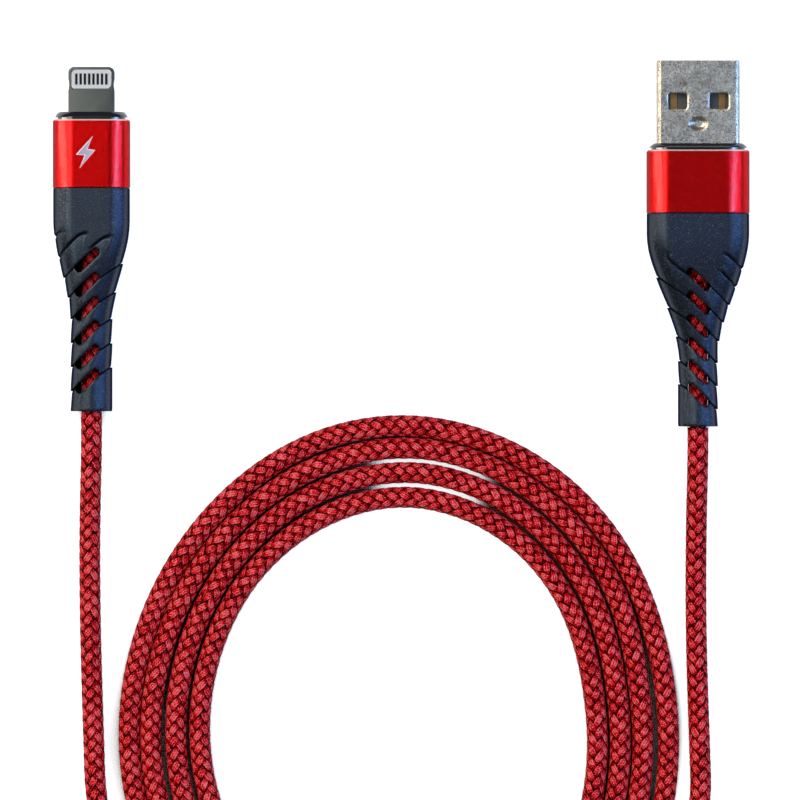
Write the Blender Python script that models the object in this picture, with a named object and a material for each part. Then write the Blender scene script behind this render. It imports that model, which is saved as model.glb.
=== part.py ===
# A braided charging cable: a full-size USB plug, a small eight-contact phone plug, and the cord
# between them, which lies in a flat four-turn oval coil.
# Metres, +Z up. Both plugs lie flat and point along +Y; the origin is on the table under the
# middle of the two plugs. Each plug is built from its boot's mouth forwards, so in its own
# numbers "along" is the distance in front of the mouth.

import math

import bpy
import numpy as np
from mathutils import Vector

for old in list(bpy.data.objects):
    bpy.data.objects.remove(old, do_unlink=True)

# ---- Fits ----
gap = 0.0003            # between large pieces that seat on each other
snug = 0.00006          # round small pieces that are pressed in

# ---- Where the plugs lie ----
usb_plug_x = 0.04305
usb_mouth_y = -0.0265
phone_plug_x = -0.0449
phone_mouth_y = -0.0243

# ---- Cord ----
cord_diameter = 0.0029  # over the braid
jacket_diameter = 0.0021
wire_diameter = 0.0006
jacket_bare_length = 0.0014    # jacket standing out of the braid inside a plug
crimp_wall = 0.0002
crimp_length = 0.0008

# ---- USB plug ----
usb_shell_width = 0.0120
usb_shell_height = 0.0045
usb_shell_wall = 0.0003
usb_shell_corner = 0.0006
usb_shell_exposed = 0.0120
usb_shell_inserted = 0.0050
usb_window_width = 0.0028
usb_window_length = 0.0023
usb_window_corner = 0.0004
usb_window_offset = 0.0030     # each window's centre from the plug's centre line
usb_window_setback = 0.0059    # window centres behind the rim
usb_tongue_thickness = 0.00184
usb_tongue_setback = 0.0008    # tongue's front edge behind the rim
usb_contact_width = 0.0010
usb_contact_thickness = 0.00025
usb_contact_offsets = (-0.0035, -0.0010, 0.0010, 0.0035)
usb_contact_setback = 0.0010   # contacts' front ends behind the tongue's
usb_contact_tail = 0.0008      # bare tail behind the insulator block
usb_block_depth = 0.0045       # insulator block behind the tongue
usb_collar_depth = 0.00065
usb_collar_lip = 0.0004        # collar's front rim outside the shell
usb_housing_length = 0.00915
usb_housing_width = 0.0149
usb_housing_height = 0.0080
usb_housing_corner = 0.0031
usb_cavity_width = 0.0092
usb_cavity_height = 0.0034
usb_boot_length = 0.0306
usb_boot_straight = 0.0025     # full-width stretch behind the housing
usb_boot_taper = 0.0181
usb_boot_end_diameter = 0.0058
usb_slot_pitch = 0.00335
usb_slot_start = 0.00455       # last slot's centre in front of the mouth

# ---- Phone plug ----
phone_blade_width = 0.0067
phone_blade_thickness = 0.0015
phone_blade_exposed = 0.00655
phone_blade_inserted = 0.0030
phone_blade_corner = 0.00085
phone_detent_depth = 0.00012
phone_detent_length = 0.0019
phone_detent_setback = 0.0026  # detents' middle behind the tip
phone_insert_width = 0.00585
phone_insert_length = 0.00285
phone_insert_setback = 0.00035
phone_insert_corner = 0.0007
phone_insert_tail_width = 0.0046
phone_insert_tail_thickness = 0.0006
phone_contact_count = 8
phone_contact_pitch = 0.00062
phone_contact_width = 0.00027
phone_contact_length = 0.00155
phone_contact_thickness = 0.00015
phone_board_width = 0.0078
phone_board_length = 0.0031
phone_board_thickness = 0.0008
phone_chip_size = 0.0022
phone_chip_thickness = 0.0007
phone_collar_depth = 0.0008
phone_collar_width = 0.0098    # across its front face
phone_collar_height = 0.0052
phone_housing_length = 0.0099
phone_housing_width = 0.0112
phone_housing_height = 0.0066
phone_housing_corner = 0.0029
phone_cavity_width = 0.0084
phone_cavity_height = 0.0032
phone_boot_length = 0.0321
phone_boot_straight = 0.0042
phone_boot_taper = 0.0156
phone_boot_end_diameter = 0.00605
phone_slot_pitch = 0.0035
phone_slot_start = 0.0044

# ---- Shared by both plugs ----
housing_wall = 0.0006
housing_chamfer = 0.0004
collar_step = 0.0003           # collar's rear rim inside the housing's outline
boot_set_in = 0.00005          # boot's front edge inside the housing's outline
spigot_depth = 0.0012          # boot and collar spigots inside the housing
slot_count = 6
slot_length = 0.0047
slot_width = 0.00145
slot_angle = math.radians(44)
corner_steps = 4
boot_corner_steps = 6
boot_rings = 12

# ---- Oval coil ----
coil_centre_x = -0.00095
coil_centre_y = -0.0709
coil_half_width = 0.04095      # outermost turn's centre line
coil_half_length = 0.0462
coil_pitch = 0.00347           # from one turn to the next
coil_lean = 0.00038            # how far the oval leans out of true
coil_lean_angle = math.radians(75)
coil_tuck = 0.0005             # how far its inner end closes in before it climbs away
coil_start = math.radians(-90)
coil_turn_steps = 24
coil_steps = 93                # 3.875 turns
cord_step = 0.0064             # between a lead's points, 2.2 diameters

# The free leads' own points, by hand, in millimetres. The phone lead runs down beside the coil
# and joins its outermost turn. The USB lead climbs off the innermost turn, passes over the others
# in a long low hump and runs up to the USB plug.
phone_lead_route = (
    (-44.95, -31.5, 3.0), (-45.1, -37.0, 2.4), (-45.2, -43.0, 1.8), (-45.2, -49.5, 1.5),
    (-45.1, -56.5, 1.45), (-44.9, -64.0, 1.45), (-44.65, -72.0, 1.45), (-44.3, -79.5, 1.45),
    (-43.0, -86.4, 1.45), (-40.5, -92.6, 1.45), (-37.0, -98.2, 1.45), (-32.8, -103.2, 1.45),
    (-28.1, -107.4, 1.45), (-23.1, -110.8, 1.45), (-17.7, -113.4, 1.45), (-12.2, -115.3, 1.45),
)
usb_lead_route = (
    (-13.2, -99.0, 2.6), (-10.6, -100.2, 3.6), (-8.0, -101.4, 4.4), (-5.4, -102.7, 4.9),
    (-2.6, -104.1, 5.1), (0.3, -105.5, 5.1), (3.5, -106.6, 5.1), (6.9, -107.5, 5.1),
    (10.8, -108.0, 5.1), (14.9, -108.0, 5.1), (19.1, -107.4, 5.1), (23.4, -106.2, 5.1),
    (27.6, -104.3, 5.1), (31.6, -101.6, 5.1), (35.3, -98.3, 4.8), (38.5, -94.3, 3.8),
    (41.0, -89.8, 2.6), (42.7, -84.9, 1.7), (43.5, -79.8, 1.45), (43.4, -73.4, 1.45),
    (43.15, -66.0, 1.45), (42.95, -59.0, 1.45), (42.85, -52.0, 1.5), (42.85, -45.5, 1.8),
    (42.9, -39.0, 2.7), (43.0, -33.5, 3.6),
)


# ---- Materials ----
def finish(name, colour, roughness, metallic=0.0):
    material = bpy.data.materials.new(name)
    material.use_nodes = True
    shader = material.node_tree.nodes["Principled BSDF"]
    shader.inputs["Base Color"].default_value = (*colour, 1.0)
    shader.inputs["Roughness"].default_value = roughness
    shader.inputs["Metallic"].default_value = metallic
    return material


stamped_steel = finish("stamped_steel", (0.42, 0.42, 0.41), 0.35, 1.0)
blade_steel = finish("blade_steel", (0.30, 0.32, 0.31), 0.35, 1.0)
gold_plate = finish("gold_plate", (0.83, 0.60, 0.22), 0.25, 1.0)
dark_contact = finish("dark_contact", (0.05, 0.05, 0.05), 0.30, 1.0)
red_anodised = finish("red_anodised", (0.60, 0.02, 0.02), 0.28, 1.0)
black_plastic = finish("black_plastic", (0.012, 0.012, 0.018), 0.25)
grey_plastic = finish("grey_plastic", (0.55, 0.56, 0.55), 0.45)
white_plastic = finish("white_plastic", (0.80, 0.80, 0.78), 0.50)
boot_rubber = finish("boot_rubber", (0.030, 0.040, 0.055), 0.60)
red_braid = finish("red_braid", (0.50, 0.01, 0.03), 0.60)
grey_jacket = finish("grey_jacket", (0.25, 0.25, 0.26), 0.60)
board_green = finish("board_green", (0.02, 0.20, 0.08), 0.40)
wire_finishes = {
    "red": finish("wire_red", (0.60, 0.02, 0.02), 0.45),
    "white": finish("wire_white", (0.80, 0.80, 0.80), 0.45),
    "green": finish("wire_green", (0.03, 0.35, 0.08), 0.45),
    "black": finish("wire_black", (0.02, 0.02, 0.02), 0.45),
}


# ---- Shapes ----
def rounded_ring(width, height, corner, along, steps=corner_steps):
    """Points round a rounded rectangle that faces along the plug, at a distance along it."""
    corner = min(corner, width / 2, height / 2)
    ring = []
    for quarter in range(4):
        side = 1 if quarter in (0, 3) else -1
        top = 1 if quarter in (0, 1) else -1
        for step in range(steps + 1):
            angle = (quarter + step / steps) * math.pi / 2
            ring.append(Vector((
                side * (width / 2 - corner) + corner * math.cos(angle),
                along,
                top * (height / 2 - corner) + corner * math.sin(angle),
            )))
    return ring


def flat_ring(width, length, corner, centre, height, steps=corner_steps):
    """Points round a rounded rectangle that lies flat, at a height."""
    return [Vector((centre[0] + p.x, centre[1] + p.z, height))
            for p in rounded_ring(width, length, corner, 0, steps)]


def skin(name, rings, closed=False):
    """A mesh through rings of equal count. Closed joins the last ring to the first, as a sleeve's
    outside and bore are; otherwise both ends are capped."""
    count = len(rings[0])
    points = [point for ring in rings for point in ring]
    faces = []
    for row in range(len(rings) if closed else len(rings) - 1):
        here, there = row * count, (row + 1) % len(rings) * count
        for i in range(count):
            j = (i + 1) % count
            faces.append((here + i, here + j, there + j, there + i))
    if not closed:
        faces.append(tuple(reversed(range(count))))
        faces.append(tuple(range(len(points) - count, len(points))))
    mesh = bpy.data.meshes.new(name)
    mesh.from_pydata([tuple(p) for p in points], [], faces)
    return mesh


def place(name, mesh, material, holder, location=(0, 0, 0)):
    """A sub-part: a mesh in its material, held by its plug's empty."""
    mesh.name = name
    if not mesh.materials:
        mesh.materials.append(material)
    piece = bpy.data.objects.new(name, mesh)
    bpy.context.scene.collection.objects.link(piece)
    piece.parent = holder
    piece.location = location
    return piece


def block(name, width, span, height):
    """A box across the plug's centre: width, (from, to) along the plug, (low, high)."""
    rings = [[Vector((x, span[0], z)), Vector((x, span[1], z))]
             for x, z in ((-width / 2, height[0]), (width / 2, height[0]),
                          (width / 2, height[1]), (-width / 2, height[1]))]
    low, high = [ring[0] for ring in rings], [ring[1] for ring in rings]
    return skin(name, [high, low])


def cut(piece, cutter_mesh, holder, location=(0, 0, 0)):
    """Take a cutter out of a piece with an exact Boolean."""
    cutter = place(piece.name + "_cutter", cutter_mesh, None, holder, location)
    cutter.hide_render = True
    cutter.display_type = "WIRE"
    modifier = piece.modifiers.new("cut", "BOOLEAN")
    modifier.operation = "DIFFERENCE"
    modifier.solver = "EXACT"
    modifier.object = cutter


def join(name, meshes):
    """Several closed meshes as one, for a cutter."""
    points, faces = [], []
    for mesh in meshes:
        start = len(points)
        points += [tuple(v.co) for v in mesh.vertices]
        faces += [tuple(start + i for i in face.vertices) for face in mesh.polygons]
    joined = bpy.data.meshes.new(name)
    joined.from_pydata(points, [], faces)
    return joined


def upright(name, width, length, corner, centre, span, turn=0.0, steps=corner_steps):
    """A rounded bar that stands upright through a plug, turned about its own middle."""
    rings = []
    for height in span:
        ring = flat_ring(width, length, corner, (0, 0), height, steps)
        rings.append([Vector((
            centre[0] + p.x * math.cos(turn) - p.y * math.sin(turn),
            centre[1] + p.x * math.sin(turn) + p.y * math.cos(turn),
            p.z)) for p in ring])
    return skin(name, rings)


# ---- Cords ----
def smooth_path(points, step):
    """Points about one step apart on a smooth curve through the points given. The first and
    last only set the curve's direction there."""
    points = [Vector(p) for p in points]
    fine = []
    for i in range(1, len(points) - 2):
        before, start, end, after = points[i - 1:i + 3]
        span = (end - start).length
        leave = (end - before) * span / ((start - before).length + span)
        arrive = (after - start) * span / ((after - end).length + span)
        for sample in range(20):
            t = sample / 20
            fine.append(start * (2 * t ** 3 - 3 * t ** 2 + 1) + leave * (t ** 3 - 2 * t ** 2 + t)
                        + end * (3 * t ** 2 - 2 * t ** 3) + arrive * (t ** 3 - t ** 2))
    fine.append(points[-2])
    run = [0.0]
    for a, b in zip(fine, fine[1:]):
        run.append(run[-1] + (b - a).length)
    count = max(2, round(run[-1] / step))
    wanted = np.linspace(0, run[-1], count + 1)
    columns = [np.interp(wanted, run, [p[axis] for p in fine]) for axis in range(3)]
    return [Vector(p) for p in zip(*columns)]


def lead_path(start, leave, route, end, arrive):
    """A free lead: straight for one diameter at each end, smooth through its route between."""
    points = [start, start + leave * cord_diameter, *[Vector(p) / 1000 for p in route],
              end - arrive * cord_diameter, end]
    return [start, *smooth_path(points, cord_step), end]


def tube(name, points, diameter, material, resolution, holder=None):
    """A cord's stretch or a wire: a round bevel along a line of points, capped at both ends."""
    curve = bpy.data.curves.new(name, "CURVE")
    curve.dimensions = "3D"
    curve.bevel_depth = diameter / 2
    curve.bevel_resolution = resolution
    curve.use_fill_caps = True
    spline = curve.splines.new("POLY")
    spline.points.add(len(points) - 1)
    for target, point in zip(spline.points, points):
        target.co = (*point, 1.0)
    curve.materials.append(material)
    piece = bpy.data.objects.new(name, curve)
    bpy.context.scene.collection.objects.link(piece)
    piece.parent = holder
    return piece


def path_length(points):
    return sum((b - a).length for a, b in zip(points, points[1:]))


def sampled(points, parts=6):
    """A line of points with each straight run cut into parts, and the run up to each point."""
    line, run, total = [], [], 0.0
    for a, b in zip(points, points[1:]):
        for part in range(parts):
            line.append(a.lerp(b, part / parts))
            run.append(total + (b - a).length * part / parts)
        total += (b - a).length
    return np.array([tuple(p) for p in line]), np.array(run)


def gap_to_itself(points, diameter):
    """Least clear space between stretches of one tube that are over 4 diameters apart along it."""
    line, run = sampled(points)
    apart = np.linalg.norm(line[:, None] - line[None], axis=2)
    apart[np.abs(run[:, None] - run[None]) < 4 * diameter] = np.inf
    return apart.min() - diameter


def gap_between(points, others, diameter):
    """Least clear space between two tubes, away from where they meet end to end."""
    line, others = sampled(points)[0], sampled(others)[0]
    apart = np.linalg.norm(line[:, None] - others[None], axis=2)
    meeting = np.linalg.norm(others[[0, -1]][:, None] - line[None], axis=2).min(0) < 4 * diameter
    return apart[~meeting].min() - diameter


# ---- What both plugs share ----
def plug_frame(name, x, mouth_y, height):
    """The empty that holds a plug: on its centre line, at its boot's mouth."""
    holder = bpy.data.objects.new(name, None)
    holder.location = (x, mouth_y, height / 2)
    bpy.context.scene.collection.objects.link(holder)
    return holder


def housing_bore(size):
    """Width, height and corner of a housing's inside."""
    width, height, corner = size
    return width - 2 * housing_wall, height - 2 * housing_wall, corner - housing_wall


def inside(size, clearance):
    """A width, height and corner drawn in all round by a clearance."""
    width, height, corner = size
    return width - 2 * clearance, height - 2 * clearance, max(corner - clearance, snug)


def ease(t):
    """0 to 1 with level ends."""
    t = min(max(t, 0.0), 1.0)
    return t * t * (3 - 2 * t)


def make_boot(name, holder, size, length, straight, taper, end, slots):
    """Moulded strain relief: the housing's outline behind the housing, drawn in to a round
    sleeve at the mouth, with a spigot in front and slanting slots through both faces."""
    bore = cord_diameter / 2 + gap
    front_size = inside(size, boot_set_in)
    spigot = inside(housing_bore(size), gap)
    steps = boot_corner_steps
    tip = length + gap + spigot_depth
    rings = [rounded_ring(*spigot, tip, steps), rounded_ring(*spigot, length, steps),
             rounded_ring(*front_size, length, steps)]
    for ring in range(boot_rings + 1):
        back = straight + taper * ring / boot_rings
        blend = ease((back - straight) / taper)
        shape = [a + (b - a) * blend for a, b in zip(front_size, (end, end, end / 2))]
        rings.append(rounded_ring(*shape, length - back, steps))
    rings.append(rounded_ring(end, end, end / 2, 0, steps))
    rings.append(rounded_ring(2 * bore, 2 * bore, bore, 0, steps))
    rings.append(rounded_ring(2 * bore, 2 * bore, bore, tip, steps))
    boot = place(name, skin(name, rings, closed=True), boot_rubber, holder)
    start, pitch, turn = slots
    bars = [upright("slot", slot_length, slot_width, slot_width / 2, (0, start + i * pitch),
                    (-size[1], size[1]), turn)
            for i in range(slot_count)]
    cut(boot, join("slots", bars), holder)


def make_housing(name, holder, size, back, length):
    """Anodised sleeve with a chamfer at each end."""
    bore = housing_bore(size)
    chamfered = inside(size, housing_chamfer)
    front = back + length
    rings = [rounded_ring(*chamfered, front), rounded_ring(*size, front - housing_chamfer),
             rounded_ring(*size, back + housing_chamfer / 2),
             rounded_ring(*inside(size, housing_chamfer / 2), back),
             rounded_ring(*bore, back), rounded_ring(*bore, front)]
    place(name, skin(name, rings, closed=True), red_anodised, holder)


def make_collar(name, holder, size, face, hole, back, depth):
    """Bevelled moulding in front of the housing, with a spigot inside it."""
    spigot = inside(housing_bore(size), snug)
    rim = inside(size, collar_step)
    front = back + depth
    rings = [rounded_ring(*face, front), rounded_ring(*rim, back), rounded_ring(*spigot, back),
             rounded_ring(*spigot, back - gap - spigot_depth),
             rounded_ring(*hole, back - gap - spigot_depth), rounded_ring(*hole, front)]
    place(name, skin(name, rings, closed=True), black_plastic, holder)


def make_inner_mould(name, holder, size, span, pocket, pocket_back, cavity):
    """White moulding that fills the housing: a pocket in front for the shell or blade, and a
    cavity behind it for the solder joints and the wires."""
    outside = inside(housing_bore(size), snug)
    rings = [rounded_ring(*outside, span[1]), rounded_ring(*outside, span[0]),
             rounded_ring(*cavity, span[0]), rounded_ring(*cavity, pocket_back),
             rounded_ring(*pocket, pocket_back), rounded_ring(*pocket, span[1])]
    place(name, skin(name, rings, closed=True), white_plastic, holder)


def make_cable_end(plug, holder, boot_length, wire_ends):
    """The cord's own layers inside a plug: braid, jacket, crimp and four wires."""
    braid_front = boot_length + gap + spigot_depth
    jacket_front = braid_front + jacket_bare_length
    jacket = jacket_diameter / 2
    outer, inner = cord_diameter / 2, jacket + snug

    def round_ring(radius, along):
        return rounded_ring(2 * radius, 2 * radius, radius, along)

    rings = [round_ring(outer, braid_front), round_ring(outer, 0),
             round_ring(inner, 0), round_ring(inner, braid_front)]
    place(plug + "_braid_end", skin("braid", rings, closed=True), red_braid, holder)
    rings = [round_ring(jacket, jacket_front), round_ring(jacket, 0)]
    place(plug + "_jacket_end", skin("jacket", rings), grey_jacket, holder)
    crimp_back = braid_front + gap
    rings = [round_ring(inner + crimp_wall, crimp_back + crimp_length),
             round_ring(inner + crimp_wall, crimp_back),
             round_ring(inner, crimp_back), round_ring(inner, crimp_back + crimp_length)]
    place(plug + "_cable_crimp", skin("crimp", rings, closed=True), stamped_steel, holder)
    apart = wire_diameter / 2 + snug
    starts = ((-apart, -apart), (-apart, apart), (apart, apart), (apart, -apart))
    for colour, start, end in zip(wire_finishes, starts, wire_ends):
        begin = Vector((start[0], jacket_front + snug, start[1]))
        reach = end.y - begin.y
        leave = begin + Vector((0, reach * 0.3, 0))
        arrive = end - Vector((0, reach * 0.3, 0))
        tube(plug + "_wire_" + colour, [begin, leave, arrive, end], wire_diameter,
             wire_finishes[colour], 1, holder)


# ---- USB plug ----
def make_usb_plug():
    holder = plug_frame("usb_plug", usb_plug_x, usb_mouth_y, usb_housing_height)
    size = (usb_housing_width, usb_housing_height, usb_housing_corner)
    housing_back = usb_boot_length + gap
    collar_back = housing_back + usb_housing_length + gap
    shoulder = collar_back + usb_collar_depth
    rim = shoulder + usb_shell_exposed
    shell_back = shoulder - usb_shell_inserted

    make_boot("usb_boot", holder, size, usb_boot_length, usb_boot_straight, usb_boot_taper,
              usb_boot_end_diameter, (usb_slot_start, usb_slot_pitch, -slot_angle))
    make_housing("usb_housing", holder, size, housing_back, usb_housing_length)

    shell = (usb_shell_width, usb_shell_height, usb_shell_corner)
    shell_hole = inside(shell, -snug)
    make_collar("usb_collar", holder, size, inside(shell, -snug - usb_collar_lip), shell_hole,
                collar_back, usb_collar_depth)
    mould_span = (housing_back + spigot_depth + gap, collar_back - 2 * gap - spigot_depth)
    cavity = (usb_cavity_width, usb_cavity_height, usb_shell_corner)
    make_inner_mould("usb_inner_mould", holder, size, mould_span, shell_hole,
                     shell_back - gap, cavity)

    bore = inside(shell, usb_shell_wall)
    rings = [rounded_ring(*shell, rim), rounded_ring(*shell, shell_back),
             rounded_ring(*bore, shell_back), rounded_ring(*bore, rim)]
    metal = place("usb_shell", skin("shell", rings, closed=True), stamped_steel, holder)
    windows = [upright("window", usb_window_width, usb_window_length, usb_window_corner,
                       (side * usb_window_offset, rim - usb_window_setback),
                       (-usb_shell_height, usb_shell_height), steps=2)
               for side in (-1, 1)]
    cut(metal, join("windows", windows), holder)

    # The insulator: a thin tongue along the shell's lower wall and a block that fills the shell
    # behind it, with a channel for each contact.
    bore_width, bore_height, bore_corner = bore
    half_width, roof = bore_width / 2 - bore_corner, bore_height / 2 - snug
    floor = -roof
    tongue_top = floor + usb_tongue_thickness
    tongue_front = rim - usb_tongue_setback
    block_back = shell_back + gap
    block_front = block_back + usb_block_depth
    profile = ((block_back, floor), (tongue_front, floor), (tongue_front, tongue_top),
               (block_front, tongue_top), (block_front, roof), (block_back, roof))
    sides = [[Vector((side * half_width, y, z)) for y, z in profile] for side in (-1, 1)]
    tongue = place("usb_tongue", skin("tongue", sides), black_plastic, holder)

    contact_low = tongue_top + snug - usb_contact_thickness
    contact_front = tongue_front - usb_contact_setback
    contact_back = block_back - usb_contact_tail
    channels = []
    for number, offset in enumerate(usb_contact_offsets, 1):
        strip = block("strip", usb_contact_width, (contact_back, contact_front),
                      (contact_low, contact_low + usb_contact_thickness))
        place(f"usb_contact_{number}", strip, gold_plate, holder, (offset, 0, 0))
        channel = block("channel", usb_contact_width + 2 * snug,
                        (contact_back, contact_front + snug),
                        (contact_low - snug, contact_low + usb_contact_thickness + snug))
        for vertex in channel.vertices:
            vertex.co.x += offset
        channels.append(channel)
    cut(tongue, join("channels", channels), holder)

    wire_height = contact_low + usb_contact_thickness / 2
    ends = [Vector((offset, contact_back - snug, wire_height)) for offset in usb_contact_offsets]
    make_cable_end("usb", holder, usb_boot_length, ends)


# ---- Phone plug ----
def make_phone_plug():
    holder = plug_frame("phone_plug", phone_plug_x, phone_mouth_y, phone_housing_height)
    size = (phone_housing_width, phone_housing_height, phone_housing_corner)
    housing_back = phone_boot_length + gap
    collar_back = housing_back + phone_housing_length + gap
    shoulder = collar_back + phone_collar_depth
    tip = shoulder + phone_blade_exposed
    blade_back = shoulder - phone_blade_inserted
    half_thickness = phone_blade_thickness / 2

    make_boot("phone_boot", holder, size, phone_boot_length, phone_boot_straight,
              phone_boot_taper, phone_boot_end_diameter,
              (phone_slot_start, phone_slot_pitch, slot_angle))
    make_housing("phone_housing", holder, size, housing_back, phone_housing_length)

    blade_hole = (phone_blade_width + 2 * gap, phone_blade_thickness + 2 * gap, gap)
    face = (phone_collar_width, phone_collar_height, phone_collar_height / 2)
    make_collar("phone_collar", holder, size, face, blade_hole, collar_back,
                phone_collar_depth)
    mould_span = (housing_back + spigot_depth + gap, collar_back - 2 * gap - spigot_depth)
    cavity = (phone_cavity_width, phone_cavity_height, gap)
    make_inner_mould("phone_inner_mould", holder, size, mould_span, blade_hole,
                     blade_back - gap, cavity)

    # The blade: a metal frame with rounded front corners, a window through it for the contact
    # insert, a channel behind that for the insert's tail, and a detent in each side.
    length = tip - blade_back
    plan = flat_ring(phone_blade_width, 2 * length, phone_blade_corner, (0, blade_back), 0)
    plan = [p for p in plan if p.y > blade_back]
    plan += [Vector((-phone_blade_width / 2, blade_back, 0)),
             Vector((phone_blade_width / 2, blade_back, 0))]
    rings = [[p + Vector((0, 0, z)) for p in plan] for z in (-half_thickness, half_thickness)]
    blade = place("phone_blade", skin("blade", rings), blade_steel, holder)
    insert_middle = tip - phone_insert_setback - phone_insert_length / 2
    window = upright("window", phone_insert_width, phone_insert_length, phone_insert_corner,
                     (0, insert_middle), (-phone_blade_thickness, phone_blade_thickness))
    tail_half = phone_insert_tail_thickness / 2
    channel = block("channel", phone_insert_tail_width + 2 * snug,
                    (blade_back - gap, insert_middle), (-tail_half - snug, tail_half + snug))
    cut(blade, window, holder)
    cut(blade, channel, holder)
    half_chord = phone_detent_length / 2
    radius = (half_chord ** 2 + phone_detent_depth ** 2) / (2 * phone_detent_depth)
    reach = phone_blade_width / 2 + radius - phone_detent_depth
    detents = [upright("detent", 2 * radius, 2 * radius, radius,
                       (side * reach, tip - phone_detent_setback),
                       (-phone_blade_thickness, phone_blade_thickness), steps=24)
               for side in (-1, 1)]
    cut(blade, join("detents", detents), holder)

    # The contact insert: a pad in the blade's window, flush on both faces, and a tail that runs
    # back inside the blade to the circuit board.
    pad = upright("pad", phone_insert_width - 2 * snug, phone_insert_length - 2 * snug,
                  phone_insert_corner - snug, (0, insert_middle),
                  (-half_thickness, half_thickness))
    insert = place("phone_contact_insert", pad, grey_plastic, holder)
    tail = place("insert_tail", block("tail", phone_insert_tail_width,
                                      (blade_back - gap, insert_middle), (-tail_half, tail_half)),
                 grey_plastic, holder)
    tail.hide_render = True
    tail.display_type = "WIRE"
    union = insert.modifiers.new("tail", "BOOLEAN")
    union.operation = "UNION"
    union.solver = "EXACT"
    union.object = tail

    # Contacts: a row on each face, each in its own shallow pocket, flush with the insert.
    strip = block("strip", phone_contact_width,
                  (-phone_contact_length / 2, phone_contact_length / 2),
                  (-phone_contact_thickness / 2, phone_contact_thickness / 2))
    pockets = []
    for face_name, face_side in (("top", 1), ("bottom", -1)):
        middle = face_side * (half_thickness - phone_contact_thickness / 2)
        for number in range(phone_contact_count):
            x = (number - (phone_contact_count - 1) / 2) * phone_contact_pitch
            place(f"phone_contact_{face_name}_{number + 1}", strip, dark_contact, holder,
                  (x, insert_middle, middle))
            depth = sorted((middle + face_side * phone_contact_thickness,
                            middle - face_side * (phone_contact_thickness / 2 + snug)))
            pocket = block("pocket", phone_contact_width + 2 * snug,
                           (insert_middle - phone_contact_length / 2 - snug,
                            insert_middle + phone_contact_length / 2 + snug), depth)
            for vertex in pocket.vertices:
                vertex.co.x += x
            pockets.append(pocket)
    cut(insert, join("pockets", pockets), holder)

    board_front = blade_back - gap - snug
    board_span = (board_front - phone_board_length, board_front)
    board_half = phone_board_thickness / 2
    place("phone_circuit_board", block("board", phone_board_width, board_span,
                                       (-board_half, board_half)), board_green, holder)
    chip_middle = board_front - phone_board_length / 2
    chip_span = (chip_middle - phone_chip_size / 2, chip_middle + phone_chip_size / 2)
    chip_low = board_half + snug
    place("phone_chip", block("chip", phone_chip_size, chip_span,
                              (chip_low, chip_low + phone_chip_thickness)),
          black_plastic, holder)

    spread = phone_board_width / 5
    ends = [Vector(((i - 1.5) * spread, board_span[0] - snug, 0)) for i in range(4)]
    make_cable_end("phone", holder, phone_boot_length, ends)


# ---- Cord ----
def coil_point(step):
    """The coil's centre line: an oval spiral that closes in by one pitch a turn."""
    swept = step / coil_turn_steps
    angle = coil_start + swept * 2 * math.pi
    left = (coil_steps - step) / coil_turn_steps
    change = (coil_lean * math.cos(3 * (angle - coil_lean_angle)) - coil_pitch * swept
              - coil_tuck * ease(1 - 4 * left))
    return Vector((coil_centre_x + (coil_half_width + change) * math.cos(angle),
                   coil_centre_y + (coil_half_length + change) * math.sin(angle),
                   cord_diameter / 2))


def make_cord():
    turns = [coil_point(step) for step in range(coil_steps + 1)]
    into = (coil_point(0.1) - coil_point(-0.1)).normalized()
    out = (coil_point(coil_steps + 0.1) - coil_point(coil_steps - 0.1)).normalized()
    straight = cord_diameter
    coil = [turns[0] - into * straight, *turns, turns[-1] + out * straight]
    tube("cable_coil", coil, cord_diameter, red_braid, 1)

    phone_exit = Vector((phone_plug_x, phone_mouth_y - gap, phone_housing_height / 2))
    usb_exit = Vector((usb_plug_x, usb_mouth_y - gap, usb_housing_height / 2))
    forward = Vector((0, 1, 0))
    phone_lead = lead_path(phone_exit, -forward, phone_lead_route, coil[0] - into * gap, into)
    usb_lead = lead_path(coil[-1] + out * gap, out, usb_lead_route, usb_exit, forward)
    tube("phone_lead", phone_lead, cord_diameter, red_braid, 2)
    tube("usb_lead", usb_lead, cord_diameter, red_braid, 2)

    print(f"least gap between the coil's turns: {gap_to_itself(coil, cord_diameter) * 1000:.2f} mm")
    for name, lead in (("phone lead", phone_lead), ("usb lead", usb_lead)):
        print(f"{name}: {path_length(lead) * 1000:.0f} mm, {len(lead)} points, least gap to the "
              f"coil {gap_between(lead, coil, cord_diameter) * 1000:.2f} mm")
    print(f"leads to each other: {gap_between(phone_lead, usb_lead, cord_diameter) * 1000:.2f} mm")
    total = path_length(phone_lead) + path_length(coil) + path_length(usb_lead) + 2 * gap
    print(f"free cord: {total * 1000:.0f} mm")


make_usb_plug()
make_phone_plug()
make_cord()
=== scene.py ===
# Looks of a braided charging cable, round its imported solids: a full-size plug, a small phone plug
# and one cord between them. Metres, +Z up, both plugs point along +Y.

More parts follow.
